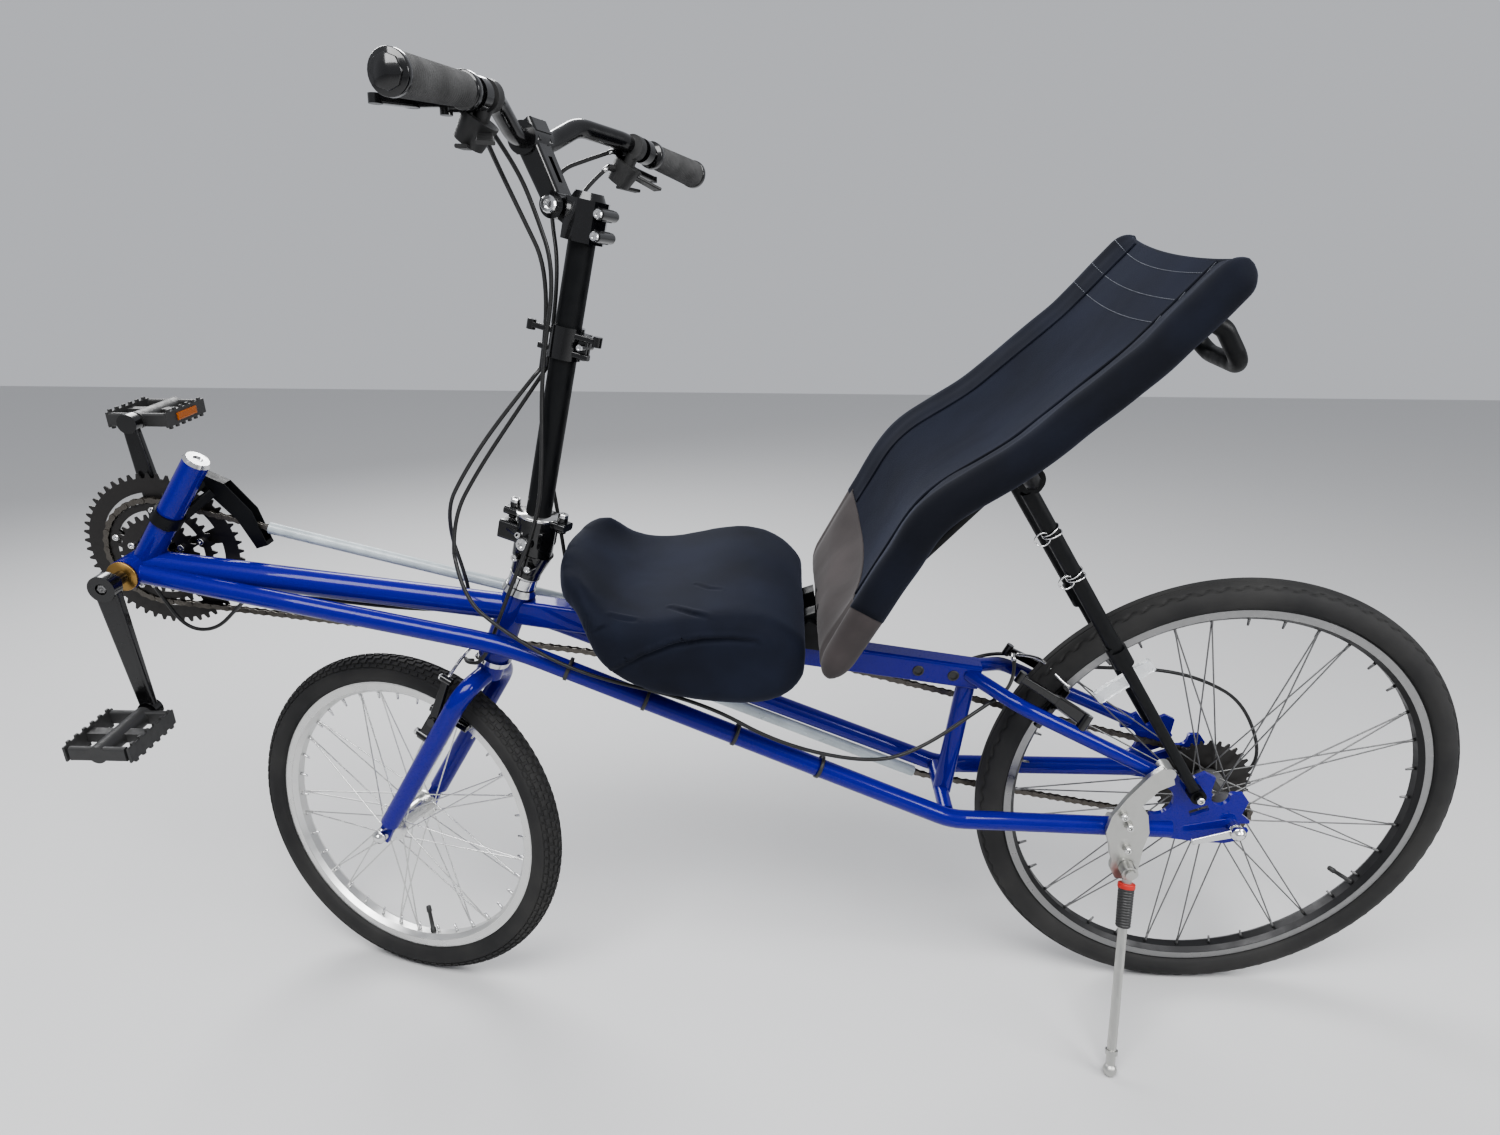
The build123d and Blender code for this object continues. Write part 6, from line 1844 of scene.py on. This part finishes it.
class BICYCLE_OT_clips(Operator):
    """The wire clips on the left strut, and the turned nuts on the left ends of both axles"""
    bl_idname = "bicycle.clips"
    bl_label = "Clips and axle nuts"

    def execute(self, context):
        top, foot = on_bike(*STRUT_TOP), on_bike(*STRUT_FOOT)
        wires = []
        for share in CLIP_SHARES:
            wires += wire_clip(top.lerp(foot, share), (foot - top).normalized())
        dressed("strut_clips", joined("strut_clips", wires), "chrome", "frame", "bright_steel")
        nuts = (("front_axle_nut", "steering", FRONT_AXLE, FRONT_ACROSS, 63.5),
                ("rear_axle_nut", "frame", REAR_AXLE, ACROSS, 87.5))
        for name, body, centre, axle, start in nuts:
            inner, outer = (centre + axle * along * MM for along in (start, start + AXLE_NUT_LONG))
            nut = skin_mesh(name, inner, outer, AXLE_NUT, 20)
            dressed(name, nut, "chrome", body, "bright_steel")
        return {"FINISHED"}


SPOKES = 36
# Steps of a nipple and of a valve: distance inwards from the rim's edge, and radius
NIPPLE = ((17.2, 2.2), (20.74, 2.0), (29.0, 1.4))
VALVE = ((16.0, 4.2), (22.0, 4.2), (22.5, 3.1), (50.0, 2.9), (50.5, 3.9), (59.0, 3.6))


class BICYCLE_OT_wheel_parts(Operator):
    """Spoke nipples and valves on both wheels"""
    bl_idname = "bicycle.wheel_parts"
    bl_label = "Wheel parts"

    def execute(self, context):
        wheels = (("front", "front_wheel", FRONT_AXLE, FRONT_ACROSS, FRONT_RIM_R, FINISHES["chrome"], -97.0),
                  ("rear", "rear_wheel", REAR_AXLE, ACROSS, REAR_RIM_R, FINISHES["dark_steel"], 213.0))
        for name, body, centre, axle, rim_r, finish, valve_angle in wheels:
            out = (FORWARD - axle * FORWARD.dot(axle)).normalized()
            spots = [centre + out * (rim_r - inwards) * MM for inwards, r in NIPPLE]
            mesh = tube_mesh("nipple", spots, [r * MM for inwards, r in NIPPLE], 8)
            nipples = grown(new_piece(name + "_nipples", mesh, finish), ring_grower(), Copies=SPOKES,
                            Centre=centre, Axle=axle, Finish=finish)
            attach(nipples, body)
            a = math.radians(valve_angle)
            up = axle.cross(out) * -1
            ray = out * math.cos(a) + up * math.sin(a)
            path = [centre + ray * (rim_r - inwards) * MM for inwards, r in VALVE]
            valve = tube_mesh("valve", path, [r * MM for inwards, r in VALVE], 12)
            dressed(name + "_valve", valve, "plastic", body, "black_plastic")
        return {"FINISHED"}


class BICYCLE_PT_parts(Panel):
    """The pieces of the bicycle, in the order they are made"""
    bl_idname = "BICYCLE_PT_parts"
    bl_label = "Bicycle"
    bl_space_type = "VIEW_3D"
    bl_region_type = "UI"
    bl_category = "Bicycle"

    def draw(self, context):
        for operator in OPERATORS:
            self.layout.operator(operator.bl_idname)


OPERATORS = (BICYCLE_OT_finishes, BICYCLE_OT_cushion, BICYCLE_OT_seat_back, BICYCLE_OT_tyres,
             BICYCLE_OT_chain, BICYCLE_OT_cables, BICYCLE_OT_ties, BICYCLE_OT_noodles, BICYCLE_OT_grips,
             BICYCLE_OT_fasteners, BICYCLE_OT_trims, BICYCLE_OT_clips, BICYCLE_OT_wheel_parts,
             BICYCLE_OT_brake_tracks, BICYCLE_OT_reflectors, BICYCLE_OT_stage)
SETTINGS = (("bicycle_finish", FinishSettings), ("bicycle_seat", SeatSettings),
            ("bicycle_tyres", TyreSettings), ("bicycle_chain", ChainSettings),
            ("bicycle_cables", CableSettings))


def register():
    for name, settings in SETTINGS:
        bpy.utils.register_class(settings)
        setattr(bpy.types.Scene, name, PointerProperty(type=settings))
    for item in OPERATORS + (BICYCLE_PT_parts,):
        bpy.utils.register_class(item)


def unregister():
    for item in reversed(OPERATORS + (BICYCLE_PT_parts,)):
        bpy.utils.unregister_class(item)
    for name, settings in reversed(SETTINGS):
        delattr(bpy.types.Scene, name)
        bpy.utils.unregister_class(settings)


def main():
    register()
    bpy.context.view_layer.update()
    for operator in OPERATORS:
        group, name = operator.bl_idname.split(".")
        getattr(getattr(bpy.ops, group), name)()


if __name__ == "__main__":
    main()
